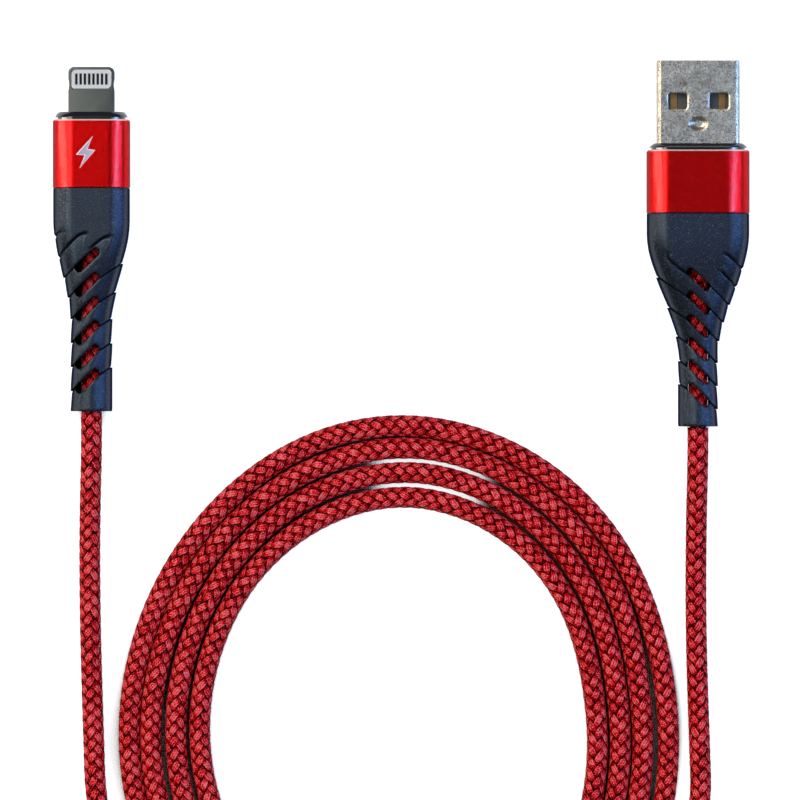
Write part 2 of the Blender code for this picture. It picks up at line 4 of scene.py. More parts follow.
import math
import bmesh
import bpy
import numpy as np
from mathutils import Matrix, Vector


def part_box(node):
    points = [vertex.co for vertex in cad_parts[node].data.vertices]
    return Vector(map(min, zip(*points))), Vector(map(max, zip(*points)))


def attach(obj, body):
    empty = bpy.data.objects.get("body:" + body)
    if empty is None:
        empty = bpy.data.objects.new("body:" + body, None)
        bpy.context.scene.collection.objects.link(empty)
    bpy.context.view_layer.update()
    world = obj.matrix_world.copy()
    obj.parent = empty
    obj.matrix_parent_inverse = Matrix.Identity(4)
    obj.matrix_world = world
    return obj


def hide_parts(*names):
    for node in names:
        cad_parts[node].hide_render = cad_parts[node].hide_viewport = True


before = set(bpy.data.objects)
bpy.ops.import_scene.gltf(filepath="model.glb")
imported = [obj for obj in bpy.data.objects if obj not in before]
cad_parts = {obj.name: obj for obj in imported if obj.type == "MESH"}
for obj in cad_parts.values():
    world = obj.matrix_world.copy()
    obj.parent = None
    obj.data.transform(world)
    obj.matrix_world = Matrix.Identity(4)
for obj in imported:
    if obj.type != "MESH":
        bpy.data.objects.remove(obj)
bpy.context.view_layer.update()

mm = 0.001


def smoothStep(t):
    t = np.clip(t, 0.0, 1.0)
    return t * t * (3 - 2 * t)


# A plug's mouth: where its cord goes in, on its centre line. "along" is counted from there.
def mouthOf(boot):
    low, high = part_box(boot)
    return Vector(((low.x + high.x) / 2, low.y, (low.z + high.z) / 2))


phoneMouth = mouthOf("phone_boot")
usbMouth = mouthOf("usb_boot")


def newObject(name, data):
    made = bpy.data.objects.new(name, data)
    bpy.context.scene.collection.objects.link(made)
    return made


# A plain mesh of what an object's modifiers make.
def madeMesh(piece):
    graph = bpy.context.evaluated_depsgraph_get()
    return bpy.data.meshes.new_from_object(piece.evaluated_get(graph), depsgraph=graph)


# Camera: straight down from far off, a frame 116 mm across round the plugs and the coil
view = {
    "across": 116.0 * mm,
    "middle": (-0.145 * mm, -22.66 * mm),
    "sharpAt": 4.0 * mm,       # the height at which the frame is that wide
    "height": 1.2,
    "sensor": 36.0,
}
cameraData = bpy.data.cameras.new("camera")
cameraData.sensor_width = view["sensor"]
cameraData.lens = view["sensor"] * (view["height"] - view["sharpAt"]) / view["across"]
cameraData.clip_end = 10
camera = newObject("camera", cameraData)
camera.location = (*view["middle"], view["height"])
bpy.context.scene.camera = camera


def addPiece(name, mesh, material, slot, *nodes):
    for face in mesh.polygons:
        face.use_smooth = True
    mesh.materials.clear()
    mesh.materials.append(material)
    piece = newObject(name, mesh)
    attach(piece, "root")
    if nodes:
        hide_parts(*nodes)
    return piece


# Makes and joins the nodes of one tree.
class Wires:
    def __init__(self, tree):
        self.tree = tree

    def node(self, kind, values=None, **settings):
        made = self.tree.nodes.new(kind)
        for name, value in settings.items():
            setattr(made, name, value)
        for name, value in (values or {}).items():
            self.join(value, made.inputs[name])
        return made

    def join(self, value, socket):
        if isinstance(value, bpy.types.NodeSocket):
            self.tree.links.new(value, socket)
        else:
            socket.default_value = value

    def math(self, operation, *values):
        made = self.tree.nodes.new("ShaderNodeMath")
        made.operation = operation
        for value, socket in zip(values, made.inputs):
            self.join(value, socket)
        return made.outputs[0]

    def vector(self, operation, *values, scale=None):
        made = self.tree.nodes.new("ShaderNodeVectorMath")
        made.operation = operation
        for value, socket in zip(values, made.inputs):
            self.join(value, socket)
        if scale is not None:
            self.join(scale, made.inputs["Scale"])
        return made.outputs["Value" if operation in ("DOT_PRODUCT", "LENGTH") else "Vector"]

    # One range of values stretched to another, and held at its ends.
    def spread(self, value, start, end, low=0.0, high=1.0, kind="LINEAR"):
        made = self.node("ShaderNodeMapRange", {
            "Value": value, "From Min": start, "From Max": end, "To Min": low, "To Max": high},
            interpolation_type=kind)
        return made.outputs["Result"]


def newTree(name, inputs):
    tree = bpy.data.node_groups.new(name, "GeometryNodeTree")
    face = tree.interface
    face.new_socket("Geometry", in_out="INPUT", socket_type="NodeSocketGeometry")
    for label, kind, value in inputs:
        socket = face.new_socket(label, in_out="INPUT", socket_type=kind)
        if value is not None:
            socket.default_value = value
    face.new_socket("Geometry", in_out="OUTPUT", socket_type="NodeSocketGeometry")
    wires = Wires(tree)
    return tree, wires, wires.node("NodeGroupInput").outputs


# Run a tree on a carrier and keep its result as a plain mesh.
def grow(name, carrier, tree, values):
    modifier = carrier.modifiers.new(name, "NODES")
    modifier.node_group = tree
    for item in tree.interface.items_tree:
        if item.item_type == "SOCKET" and item.in_out == "INPUT" and item.name in values:
            modifier[item.identifier] = values[item.name]
    mesh = madeMesh(carrier)
    carrier.modifiers.remove(modifier)
    mesh.name = name
    return mesh


# Cord: the route. Its points repeat those of the part's source.
cord = {
    "diameter": 2.9 * mm,
    "coreDiameter": 2.1 * mm,
    "step": 1.0 * mm,
    "stiffness": "medium",
    "stretches": 8,            # pieces that the free braid is cut into
    "coreColour": (0.02, 0.002, 0.004),
    "coreRoughness": 0.7,
}
coil = {
    "centre": (-0.95 * mm, -70.9 * mm),
    "halfWidth": 40.95 * mm,
    "halfLength": 46.2 * mm,
    "pitch": 3.47 * mm,        # from one turn in to the next
    "lean": 0.38 * mm,         # three slight bulges round the oval, and where the first lies
    "leanAngle": math.radians(75),
    "tuck": 0.5 * mm,          # how far the last quarter turn draws in
    "start": math.radians(-90),
    "turns": 3.875,
    "pointsPerTurn": 48,
    # (turn, how far it lies inside its even spiral there, in mm): the turns lie unevenly
    "drift": (
        (0.0, 0.0), (0.26, 0.0), (0.345, -0.55), (0.47, 0.24), (0.56, 0.20), (0.75, 0.05),
        (1.0, 0.0), (1.26, 0.27), (1.345, -0.70), (1.47, 0.0), (1.54, 0.16), (1.68, -0.25),
        (1.75, -0.30), (2.0, 0.0), (2.26, 0.06), (2.345, -0.70), (2.47, 0.05), (2.52, 0.18),
        (2.66, -0.30), (2.78, -0.08), (3.0, 0.0), (3.26, -0.05), (3.345, -0.66), (3.47, 0.20),
        (3.52, 0.28), (3.66, -0.42), (3.80, -0.30), (3.875, -0.05)),
}
phoneRoute = (
    (-44.95, -31.5, 3.0), (-45.1, -37.0, 2.4), (-45.2, -43.0, 1.8), (-45.2, -49.5, 1.5),
    (-45.1, -56.5, 1.45), (-44.9, -64.0, 1.45), (-44.65, -72.0, 1.45), (-44.3, -79.5, 1.45),
    (-43.0, -86.4, 1.45), (-40.5, -92.6, 1.45), (-37.0, -98.2, 1.45), (-32.8, -103.2, 1.45),
    (-28.1, -107.4, 1.45), (-23.1, -110.8, 1.45), (-17.7, -113.4, 1.45), (-12.2, -115.3, 1.45),
)
usbRoute = (
    (-13.2, -99.0, 2.6), (-10.6, -100.2, 3.6), (-8.0, -101.4, 4.4), (-5.4, -102.7, 4.9),
    (-2.6, -104.1, 5.1), (0.3, -105.5, 5.1), (3.5, -106.6, 5.1), (6.9, -107.5, 5.1),
    (10.8, -108.0, 5.1), (14.9, -108.0, 5.1), (19.1, -107.4, 5.1), (23.4, -106.2, 5.1),
    (27.6, -104.3, 5.1), (31.6, -101.6, 5.1), (35.3, -98.3, 4.8), (38.5, -94.3, 3.8),
    (41.0, -89.8, 2.6), (42.7, -84.9, 1.7), (43.5, -79.8, 1.45), (43.4, -73.4, 1.45),
    (43.15, -66.0, 1.45), (42.95, -59.0, 1.45), (42.85, -52.0, 1.5), (42.85, -45.5, 1.8),
    (42.9, -39.0, 2.7), (43.0, -33.5, 3.6),
)


def coilDrift(turn):
    for (start, low), (end, high) in zip(coil["drift"], coil["drift"][1:]):
        if turn <= end:
            return (low + (high - low) * smoothStep((turn - start) / (end - start))) * mm
    return 0.0


def coilPoint(turn):
    angle = coil["start"] + turn * 2 * math.pi
    change = (coil["lean"] * math.cos(3 * (angle - coil["leanAngle"])) - coil["pitch"] * turn
              - coil["tuck"] * smoothStep(1 - 4 * (coil["turns"] - turn)) - coilDrift(turn))
    return Vector((coil["centre"][0] + (coil["halfWidth"] + change) * math.cos(angle),
                   coil["centre"][1] + (coil["halfLength"] + change) * math.sin(angle),
                   cord["diameter"] / 2))


# Points one step apart on a smooth curve through the points given.
def smoothPath(points, step):
    points = [2 * points[0] - points[1], *points, 2 * points[-1] - points[-2]]
    fine = []
    for before, start, end, after in zip(points, points[1:], points[2:], points[3:]):
        span = (end - start).length
        leave = (end - before) * span / ((start - before).length + span)
        arrive = (after - start) * span / ((after - end).length + span)
        for t in np.arange(20) / 20:
            fine.append(start * (2 * t ** 3 - 3 * t ** 2 + 1) + leave * (t ** 3 - 2 * t ** 2 + t)
                        + end * (3 * t ** 2 - 2 * t ** 3) + arrive * (t ** 3 - t ** 2))
    fine = np.array([*fine, points[-2]])
    run = np.concatenate(([0], np.cumsum(np.linalg.norm(np.diff(fine, axis=0), axis=1))))
    wanted = np.linspace(0, run[-1], round(run[-1] / step) + 1)
    return np.stack([np.interp(wanted, run, fine[:, axis]) for axis in range(3)], axis=1)


forward = Vector((0, 1, 0))
stub = forward * cord["diameter"]
coilCount = round(coil["turns"] * coil["pointsPerTurn"])
coilTurns = [coilPoint(coil["turns"] * i / coilCount) for i in range(coilCount + 1)]
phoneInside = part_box("phone_braid_end")[1].y - phoneMouth.y
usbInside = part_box("usb_braid_end")[1].y - usbMouth.y
wholeRoute = smoothPath([
    phoneMouth + forward * phoneInside, phoneMouth, phoneMouth - stub,
    *[Vector(p) * mm for p in phoneRoute],
    *coilTurns,
    *[Vector(p) * mm for p in usbRoute],
    usbMouth - stub, usbMouth, usbMouth + forward * usbInside,
], cord["step"])
freeRoute = wholeRoute[round(phoneInside / cord["step"]):-round(usbInside / cord["step"])]
wholeLength = float(np.linalg.norm(np.diff(wholeRoute, axis=0), axis=1).sum())
freeLength = float(np.linalg.norm(np.diff(freeRoute, axis=0), axis=1).sum())
print(f"cord: {freeLength / mm:.0f} mm free, {wholeLength / mm:.0f} mm with its ends in the boots")


def routeCurve(name, points, diameter=0.0):
    curve = bpy.data.curves.new(name, "CURVE")
    curve.dimensions = "3D"
    curve.bevel_depth = diameter / 2
    curve.bevel_resolution = 2
    curve.use_fill_caps = True
    spline = curve.splines.new("POLY")
    spline.points.add(len(points) - 1)
    spline.points.foreach_set("co", np.c_[points, np.ones(len(points))].ravel())
    return newObject(name, curve)


# Materials

# Values or other nodes' outputs on a shader's own sockets.
def dress(wires, shader, **sockets):
    for label, value in sockets.items():
        wires.join(value, shader.inputs[label.replace("_", " ")])


def newMaterial(name, metallic=0.0, roughness=0.5, colour=None, **sockets):
    material = bpy.data.materials.new(name)
    material.use_nodes = True
    wires = Wires(material.node_tree)
    shader = material.node_tree.nodes["Principled BSDF"]
    dress(wires, shader, Metallic=metallic, Roughness=roughness, **sockets)
    if colour:
        dress(wires, shader, Base_Color=(*colour, 1.0))
    return material, wires, shader


def ramp(wires, value, stops):
    made = wires.node("ShaderNodeValToRGB", {"Fac": value})
    while len(made.color_ramp.elements) < len(stops):
        made.color_ramp.elements.new(0.5)
    for element, (place, colour) in zip(made.color_ramp.elements, stops):
        element.position = place
        element.color = (*colour, 1.0)
    return made.outputs["Color"]


def blend(wires, amount, low, high):
    made = wires.node("ShaderNodeMix", data_type="RGBA")
    for value, label in ((amount, 0), (low, 6), (high, 7)):
        if isinstance(value, tuple):
            value = (*value, 1.0)
        wires.join(value, made.inputs[label])
    return made.outputs[2]


def noise(wires, place, scale, detail=2.0, roughness=0.5):
    return wires.node("ShaderNodeTexNoise", {"Vector": place, "Scale": scale, "Detail": detail,
                                             "Roughness": roughness}).outputs["Fac"]


def bump(wires, height, distance):
    return wires.node("ShaderNodeBump", {"Height": height,
                                         "Distance": distance}).outputs["Normal"]


def objectPlace(wires):
    return wires.node("ShaderNodeTexCoord").outputs["Object"]


# What a mesh's attribute says there, 0 on a mesh without it.
def marked(wires, label):
    return wires.node("ShaderNodeAttribute", attribute_name=label).outputs["Fac"]


# 0 where a surface faces the eye, 1 where it turns away.
def awayFromEye(wires, start, end):
    facing = wires.node("ShaderNodeLayerWeight", {"Blend": 0.5}).outputs["Facing"]
    return wires.spread(facing, start, end, kind="SMOOTHSTEP")


# Braid: satin filaments along each strand, with painted shade where a strand dives under another
# and where it turns from the eye, glossy spots with painted glints, and a tone of its own for each
# stretch between two dives.
braidLook = {
    # painted light and shade by how lit: dark stops where strands dive, the brightest for painted
    # glints
    "reds": (                  # (how lit, colour)
        (0.06, (0.006, 0.0001, 0.0003)), (0.30, (0.20, 0.0006, 0.002)),
        (0.54, (0.78, 0.0020, 0.005)), (0.86, (1.0, 0.020, 0.026)), (1.0, (1.0, 0.20, 0.19))),
    "crownLit": (0.76, 0.19),  # more where a strand lies on top, and what it has anywhere
    "ridgeLit": (0.44, 0.62),  # the same for the middle of a filament
    "ownShade": 0.36,
    "fluffScale": 6200.0,
    "fluffLit": 3.1,
    "fluffDepth": 0.030 * mm,
    "sunkDark": 0.13,          # in a boot, where less light comes
    # painted shade at the braid's edges, where it turns from the eye:
    "edge": (0.006, 0.0001, 0.0003),
    "edgeShadeRange": (0.36, 0.88),
    "edgeShadeShare": 0.74,
    "sheen": (0.03, 0.36),
    "sheenRange": (0.49, 0.62),
    "sheenLost": 0.92,         # at the edge
    "tint": (1.0, 0.45, 0.42, 1.0),
    "roughness": 0.24,
}


def braidMaterial():
    look = braidLook
    material, wires, shader = newMaterial("braidRed", roughness=look["roughness"],
                                          Specular_Tint=look["tint"])
    fluffAndGlints = noise(wires, objectPlace(wires), look["fluffScale"], 2.0, 0.6)
    # lit paints light and shade: darker where a strand dives or lies in a boot, lighter on filament
    # middles, noise glints
    over = marked(wires, "over")
    crown = wires.math("MULTIPLY", over, wires.math("ABSOLUTE", over))
    ridge = wires.math("MULTIPLY_ADD", marked(wires, "ridge"), *look["ridgeLit"])
    lit = wires.math("MULTIPLY", wires.math("MULTIPLY_ADD", crown, *look["crownLit"]), ridge)
    for value, share in ((marked(wires, "shade"), look["ownShade"]), (fluffAndGlints, look["fluffLit"])):
        lit = wires.math("ADD", lit, wires.math("MULTIPLY_ADD", value, share, -share / 2))
    lit = wires.math("MULTIPLY_ADD", marked(wires, "sunk"), -look["sunkDark"], lit)
    # Painted shade: the colour goes toward near black where the braid turns from the eye.
    away = awayFromEye(wires, *look["edgeShadeRange"])
    red = blend(wires, wires.math("MULTIPLY", away, look["edgeShadeShare"]),
                ramp(wires, lit, look["reds"]), look["edge"])
    sheen = wires.spread(fluffAndGlints, *look["sheenRange"], *look["sheen"], kind="SMOOTHSTEP")
    kept = wires.math("MULTIPLY_ADD", away, -look["sheenLost"], 1.0)
    dress(wires, shader, Base_Color=red, Specular_IOR_Level=wires.math("MULTIPLY", sheen, kept),
          Normal=bump(wires, fluffAndGlints, look["fluffDepth"]))
    return material


# Braid: strands that wind both ways round the route, two over and two under
braid = {
    "strandsEachWay": 8,
    "lay": 14.5 * mm,          # one strand's full turn
    "radius": 1.34 * mm,       # middle of the braid's thickness
    "endRadius": 1.16 * mm,    # where it lies in a boot
    "rise": 0.115 * mm,
    "strandWidth": 0.95 * mm,
    "strandThickness": 0.24 * mm,
    "filaments": 3,            # in each strand, side by side
    "pinch": 0.40,             # share of its width that a strand loses as it dives
    # in halves of a strand's thickness: how deep it is between filaments, how much higher its
    # middle is than its sides, and how low its underside lies
    "groove": 0.75,
    "arch": 0.25,
    "under": 0.6,
    "underWide": 0.6,          # its underside's share of its width
    "sides": 12,               # points round a strand, two of them on its underside
    "shadesApart": 97.0,       # numbers kept for the shades of one strand
    "step": 0.45 * mm,
    "seed": 7,
}


# Numbered bars, one for each strand, are bent along the route: a point's place in its bar says how
# far along, how far across its strand and how far out it goes.
def braidTree():
    tree, w, given = newTree("braidTree", (
        ("Start", "NodeSocketFloat", 0.0), ("End", "NodeSocketFloat", 0.1),
        ("Rings", "NodeSocketInt", 100), ("Sides", "NodeSocketInt", braid["sides"]),
        ("Strands Each Way", "NodeSocketInt", braid["strandsEachWay"]),
        ("Lay", "NodeSocketFloat", braid["lay"]), ("Radius", "NodeSocketFloat", braid["radius"]),
        ("Rise", "NodeSocketFloat", braid["rise"]),
        ("Width", "NodeSocketFloat", braid["strandWidth"]),
        ("Thickness", "NodeSocketFloat", braid["strandThickness"]),
        ("Filaments", "NodeSocketInt", braid["filaments"]),
        ("Pinch", "NodeSocketFloat", braid["pinch"]), ("Sunk", "NodeSocketFloat", 0.0),
        ("Seed", "NodeSocketInt", braid["seed"]), ("Material", "NodeSocketMaterial", None)))
    each = given["Strands Each Way"]
    line = w.node("GeometryNodeCurvePrimitiveLine", {"End": (1, 0, 0)})
    line = w.node("GeometryNodeResampleCurve", {"Curve": line.outputs[0], "Count": given["Rings"]})
    ring = w.node("GeometryNodeCurvePrimitiveCircle", {"Resolution": given["Sides"], "Radius": 1.0})
    bar = w.node("GeometryNodeCurveToMesh", {"Curve": line.outputs[0],
                                             "Profile Curve": ring.outputs["Curve"],
                                             "Fill Caps": True})
    held = w.node("GeometryNodeGeometryToInstance", {"Geometry": bar.outputs[0]})
    copies = w.node("GeometryNodeDuplicateElements", domain="INSTANCE")
    w.join(held.outputs[0], copies.inputs["Geometry"])
    w.join(w.math("MULTIPLY", each, 2.0), copies.inputs["Amount"])
    numbered = w.node("GeometryNodeStoreNamedAttribute",
                      {"Geometry": copies.outputs["Geometry"], "Name": "strand",
                       "Value": copies.outputs["Duplicate Index"]},
                      data_type="FLOAT", domain="INSTANCE")
    loose = w.node("GeometryNodeRealizeInstances", {"Geometry": numbered.outputs[0]})
    strand = w.node("GeometryNodeInputNamedAttribute", {"Name": "strand"}).outputs["Attribute"]
    parts = w.node("ShaderNodeSeparateXYZ",
                   {"Vector": w.node("GeometryNodeInputPosition").outputs[0]}).outputs
    # The corner's number round the bar, from one side over the top, and the last two below.
    corner = w.math("MULTIPLY", w.math("ARCTAN2", parts["Z"], parts["Y"]),
                    w.math("DIVIDE", given["Sides"], 2 * math.pi))
    corner = w.math("FLOORED_MODULO", w.math("FLOOR", w.math("ADD", corner, 0.5)),
                    given["Sides"])
    upper = w.math("SUBTRACT", given["Sides"], 2.0)
    isUpper = w.math("LESS_THAN", corner, w.math("SUBTRACT", upper, 0.5))
    share = w.math("DIVIDE", corner, w.math("SUBTRACT", upper, 1.0))
    topSide = w.math("MULTIPLY_ADD", share, -2.0, 1.0)
    underSide = w.math("MULTIPLY_ADD", w.math("SUBTRACT", corner, upper),
                       2 * braid["underWide"], -braid["underWide"])
    across = w.math("MULTIPLY_ADD", isUpper, w.math("SUBTRACT", topSide, underSide), underSide)
    ridge = w.math("ABSOLUTE", w.math("SINE", w.math(
        "MULTIPLY", share, w.math("MULTIPLY", given["Filaments"], math.pi))))
    arch = w.math("MULTIPLY_ADD", w.math("MULTIPLY", across, across), -braid["arch"],
                  braid["arch"])
    crown = w.math("MULTIPLY_ADD", ridge, braid["groove"], arch)
    height = w.math("MULTIPLY_ADD", isUpper, w.math("ADD", crown, braid["under"]),
                    -braid["under"])
    # Where the strand runs: how far along, at what angle round, and over or under the others.
    span = w.math("SUBTRACT", given["End"], given["Start"])
    run = w.math("MULTIPLY_ADD", parts["X"], span, given["Start"])
    way = w.math("MULTIPLY_ADD", w.math("LESS_THAN", strand, each), 2.0, -1.0)
    turns = w.math("ADD", w.math("DIVIDE", strand, each),
                   w.math("MULTIPLY", way, w.math("DIVIDE", run, given["Lay"])))
    angle = w.math("MULTIPLY", turns, 2 * math.pi)
    phase = w.math("MULTIPLY_ADD", angle, w.math("DIVIDE", each, 2.0), -math.pi / 4)
    wave = w.math("MULTIPLY", w.math("COSINE", phase), way)
    squared = w.math("MULTIPLY", wave, wave)
    over = w.math("MULTIPLY", wave, w.math("MULTIPLY_ADD", squared, -0.5, 1.5))
    slope = w.math("ARCTANGENT", w.math("DIVIDE", w.math("MULTIPLY", given["Radius"], 2 * math.pi),
                                        given["Lay"]))
    narrowed = w.math("MULTIPLY_ADD", w.math("SUBTRACT", 1.0, w.math("ABSOLUTE", over)),
                      w.math("MULTIPLY", given["Pinch"], -1.0), 1.0)
    # Across the strand is partly round the cord and partly along it.
    reach = w.math("MULTIPLY", w.math("MULTIPLY", across, given["Width"]),
                   w.math("MULTIPLY", narrowed, 0.5))
    aside = w.math("DIVIDE", w.math("MULTIPLY", reach, w.math("COSINE", slope)), given["Radius"])
    forwards = w.math("MULTIPLY", w.math("MULTIPLY", reach, w.math("SINE", slope)), way)
    here = w.math("SUBTRACT", run, forwards)
    around = w.math("ADD", angle, aside)
    lift = w.math("MULTIPLY", height, w.math("MULTIPLY", given["Thickness"], 0.5))
    out = w.math("ADD", w.math("MULTIPLY_ADD", over, given["Rise"], given["Radius"]), lift)
    spot = w.node("GeometryNodeSampleCurve", {"Curves": given["Geometry"]}, mode="LENGTH",
                  use_all_curves=True)
    w.join(here, spot.inputs["Length"])
    normal = spot.outputs["Normal"]
    side = w.vector("CROSS_PRODUCT", spot.outputs["Tangent"], normal)
    radial = w.vector("ADD",
                      w.vector("SCALE", normal, scale=w.math("COSINE", around)),
                      w.vector("SCALE", side, scale=w.math("SINE", around)))
    placed = w.vector("ADD", spot.outputs["Position"], w.vector("SCALE", radial, scale=out))
    wound = loose.outputs[0]
    shade = w.node("FunctionNodeRandomValue", data_type="FLOAT")
    w.join(w.math("FLOOR", w.math("MULTIPLY_ADD", phase, 1 / math.pi,
                                  w.math("MULTIPLY", strand, braid["shadesApart"]))),
           shade.inputs["ID"])
    w.join(given["Seed"], shade.inputs["Seed"])
    for label, value in (("ridge", w.math("MULTIPLY", ridge, isUpper)), ("over", over),
                         ("shade", shade.outputs[1]), ("sunk", given["Sunk"])):
        wound = w.node("GeometryNodeStoreNamedAttribute",
                       {"Geometry": wound, "Name": label, "Value": value},
                       data_type="FLOAT", domain="POINT").outputs[0]
    wound = w.node("GeometryNodeSetPosition", {"Geometry": wound, "Position": placed}).outputs[0]
    wound = w.node("GeometryNodeSetShadeSmooth", {"Geometry": wound}).outputs[0]
    wound = w.node("GeometryNodeRealizeInstances", {"Geometry": wound}).outputs[0]
    wound = w.node("GeometryNodeSetMaterial", {"Geometry": wound,
                                               "Material": given["Material"]}).outputs[0]
    w.node("NodeGroupOutput", {"Geometry": wound})
    return tree


def braidMesh(name, carrier, tree, material, start, end, radius, sunk=0.0):
    return grow(name, carrier, tree, {
        "Start": start, "End": end, "Rings": max(2, round((end - start) / braid["step"]) + 1),
        "Radius": radius, "Sunk": sunk, "Material": material})


def makeCord():
    red = braidMaterial()
    dark, _, _ = newMaterial("underBraid", roughness=cord["coreRoughness"],
                             colour=cord["coreColour"])
    tree = braidTree()
    carrier = routeCurve("route", wholeRoute)
    strands = []
    mark = np.linspace(phoneInside, phoneInside + freeLength, cord["stretches"] + 1)
    for number, (start, end) in enumerate(zip(mark, mark[1:]), 1):
        mesh = braidMesh(f"cordBraid{number}", carrier, tree, red, float(start), float(end),
                         braid["radius"])
        strands.append(addPiece(mesh.name, mesh, red, "red_braid"))
    for name, node, start, end in (
            ("phoneBraidEnd", "phone_braid_end", 0.0, phoneInside),
            ("usbBraidEnd", "usb_braid_end", wholeLength - usbInside, wholeLength)):
        mesh = braidMesh(name, carrier, tree, red, float(start), float(end),
                         braid["endRadius"], sunk=1.0)
        addPiece(name, mesh, red, "red_braid", node)
    bpy.data.objects.remove(carrier)
    core = routeCurve("cordCore", freeRoute, cord["coreDiameter"])
    core.data.materials.append(dark)
    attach(core, "root")
    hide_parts("phone_lead", "cable_coil", "usb_lead")
    faces = sum(len(p.data.polygons) for p in strands)
    print(f"cord made, {faces} faces in {len(strands)} stretches of braid")


makeCord()


# Plugs: shapes in a plug's own numbers (across, along from its mouth, up), then moved there

# Points round a rounded rectangle, from its right side over the top; cornerPoints in each corner
# and sidePoints on each side between them, closer together near the corners.
def outline(width, height, corner, cornerPoints=9, sidePoints=6):
    corner = min(corner, width / 2 - 1e-6, height / 2 - 1e-6)
    bends = []
    for quarter, (side, top) in enumerate(((1, 1), (-1, 1), (-1, -1), (1, -1))):
        angles = (quarter + np.arange(cornerPoints) / (cornerPoints - 1)) * math.pi / 2
        bends.append(np.c_[side * (width / 2 - corner) + corner * np.cos(angles),
                           top * (height / 2 - corner) + corner * np.sin(angles)])
    along = (1 - np.cos(np.arange(1, sidePoints + 1) * math.pi / (sidePoints + 1))) / 2
    points = []
    for bend, after in zip(bends, bends[1:] + bends[:1]):
        points += [bend, bend[-1] + (after[0] - bend[-1]) * along[:, None]]
    return np.vstack(points)


def inset(size, amount):
    width, height, corner = size
    return width - 2 * amount, height - 2 * amount, max(corner - amount, 0.02 * mm)


def ringAt(size, along, **counts):
    flat = outline(*size, **counts)
    return np.c_[flat[:, 0], np.full(len(flat), along), flat[:, 1]]


# Mesh through rings of equal count; closed joins the last to the first, or else both are capped.
def skinOf(name, rings, place, closed=True):
    rings = np.array(rings)
    rows, count = rings.shape[:2]
    row = np.arange(rows if closed else rows - 1)[:, None] * count
    nextRow = (row + count) % (rows * count)
    here = np.arange(count)[None]
    after = (here + 1) % count
    faces = np.stack([row + here, row + after, nextRow + after, nextRow + here], -1)
    faces = faces.reshape(-1, 4).tolist()
    if not closed:
        faces += [list(range(count))[::-1], list(range((rows - 1) * count, rows * count))]
    mesh = bpy.data.meshes.new(name)
    mesh.from_pydata(rings.reshape(-1, 3) + np.array(place), [], faces)
    return mesh


# A bar that stands upright through a plug: an outline seen from above, between two heights.
def upright(name, flat, heights, place):
    rings = [np.c_[flat, np.full(len(flat), height)] for height in heights]
    return skinOf(name, rings, place, closed=False)


def cutOut(mesh, cutters):
    whole = newObject("whole", mesh)
    cutter = bpy.data.meshes.new("cutter")
    joined = bmesh.new()
    for part in cutters:
        joined.from_mesh(part)
    joined.to_mesh(cutter)
    joined.free()
    tool = newObject("tool", cutter)
    modifier = whole.modifiers.new("cut", "BOOLEAN")
    modifier.operation = "DIFFERENCE"
    modifier.solver = "EXACT"
    modifier.object = tool
    made = madeMesh(whole)
    for leftover in (whole, tool):
        bpy.data.objects.remove(leftover)
    return made


def turned(flat, angle, middle):
    c, s = math.cos(angle), math.sin(angle)
    return np.c_[flat[:, 0] * c - flat[:, 1] * s, flat[:, 0] * s + flat[:, 1] * c] + middle


def addPlugPiece(name, mesh, material, slot, *nodes, sharp=32):
    piece = addPiece(name, mesh, material, slot, *nodes)
    mesh.set_sharp_from_angle(angle=math.radians(sharp))
    return piece


# Values kept on a mesh for its material, one for each face or point.
def keepMark(mesh, label, values, domain="FACE"):
    values = np.array(values, dtype=float)
    mesh.attributes.new(label, "FLOAT", domain).data.foreach_set("value", values)


def spotsOf(items, what):
    spots = np.empty(len(items) * 3)
    items.foreach_get(what, spots)
    return spots.reshape(-1, 3)


# Materials of the plugs

# One grain for all of them: fine specks, broad patches, and the bump of the specks.
def makeGrain():
    group = bpy.data.node_groups.new("grain", "ShaderNodeTree")
    face = group.interface
    for label, value in (("Scale", 5000.0), ("Broad Scale", 600.0), ("Detail", 3.0),
                         ("Roughness", 0.6), ("Depth", 0.01 * mm)):
        socket = face.new_socket(label, in_out="INPUT", socket_type="NodeSocketFloat")
        socket.default_value = value
    for label in ("Fine", "Broad"):
        face.new_socket(label, in_out="OUTPUT", socket_type="NodeSocketFloat")
    face.new_socket("Normal", in_out="OUTPUT", socket_type="NodeSocketVector")
    wires = Wires(group)
    given = wires.node("NodeGroupInput").outputs
    place = objectPlace(wires)
    fine = noise(wires, place, given["Scale"], given["Detail"], given["Roughness"])
    broad = noise(wires, place, given["Broad Scale"], 2.5)
    wires.node("NodeGroupOutput", {"Fine": fine, "Broad": broad,
                                   "Normal": bump(wires, fine, given["Depth"])})
    return group


grain = makeGrain()


def grained(wires, scale, broadScale, depth, roughness=0.6):
    return wires.node("ShaderNodeGroup", {"Scale": scale, "Broad Scale": broadScale,
                                          "Roughness": roughness, "Depth": depth},
                      node_tree=grain).outputs


# Fine specks and broad patches in one value, and the patches' share of it.
def mottled(wires, look, share):
    return wires.math("MULTIPLY_ADD", look["Broad"], share,
                      wires.math("MULTIPLY", look["Fine"], 1 - share))


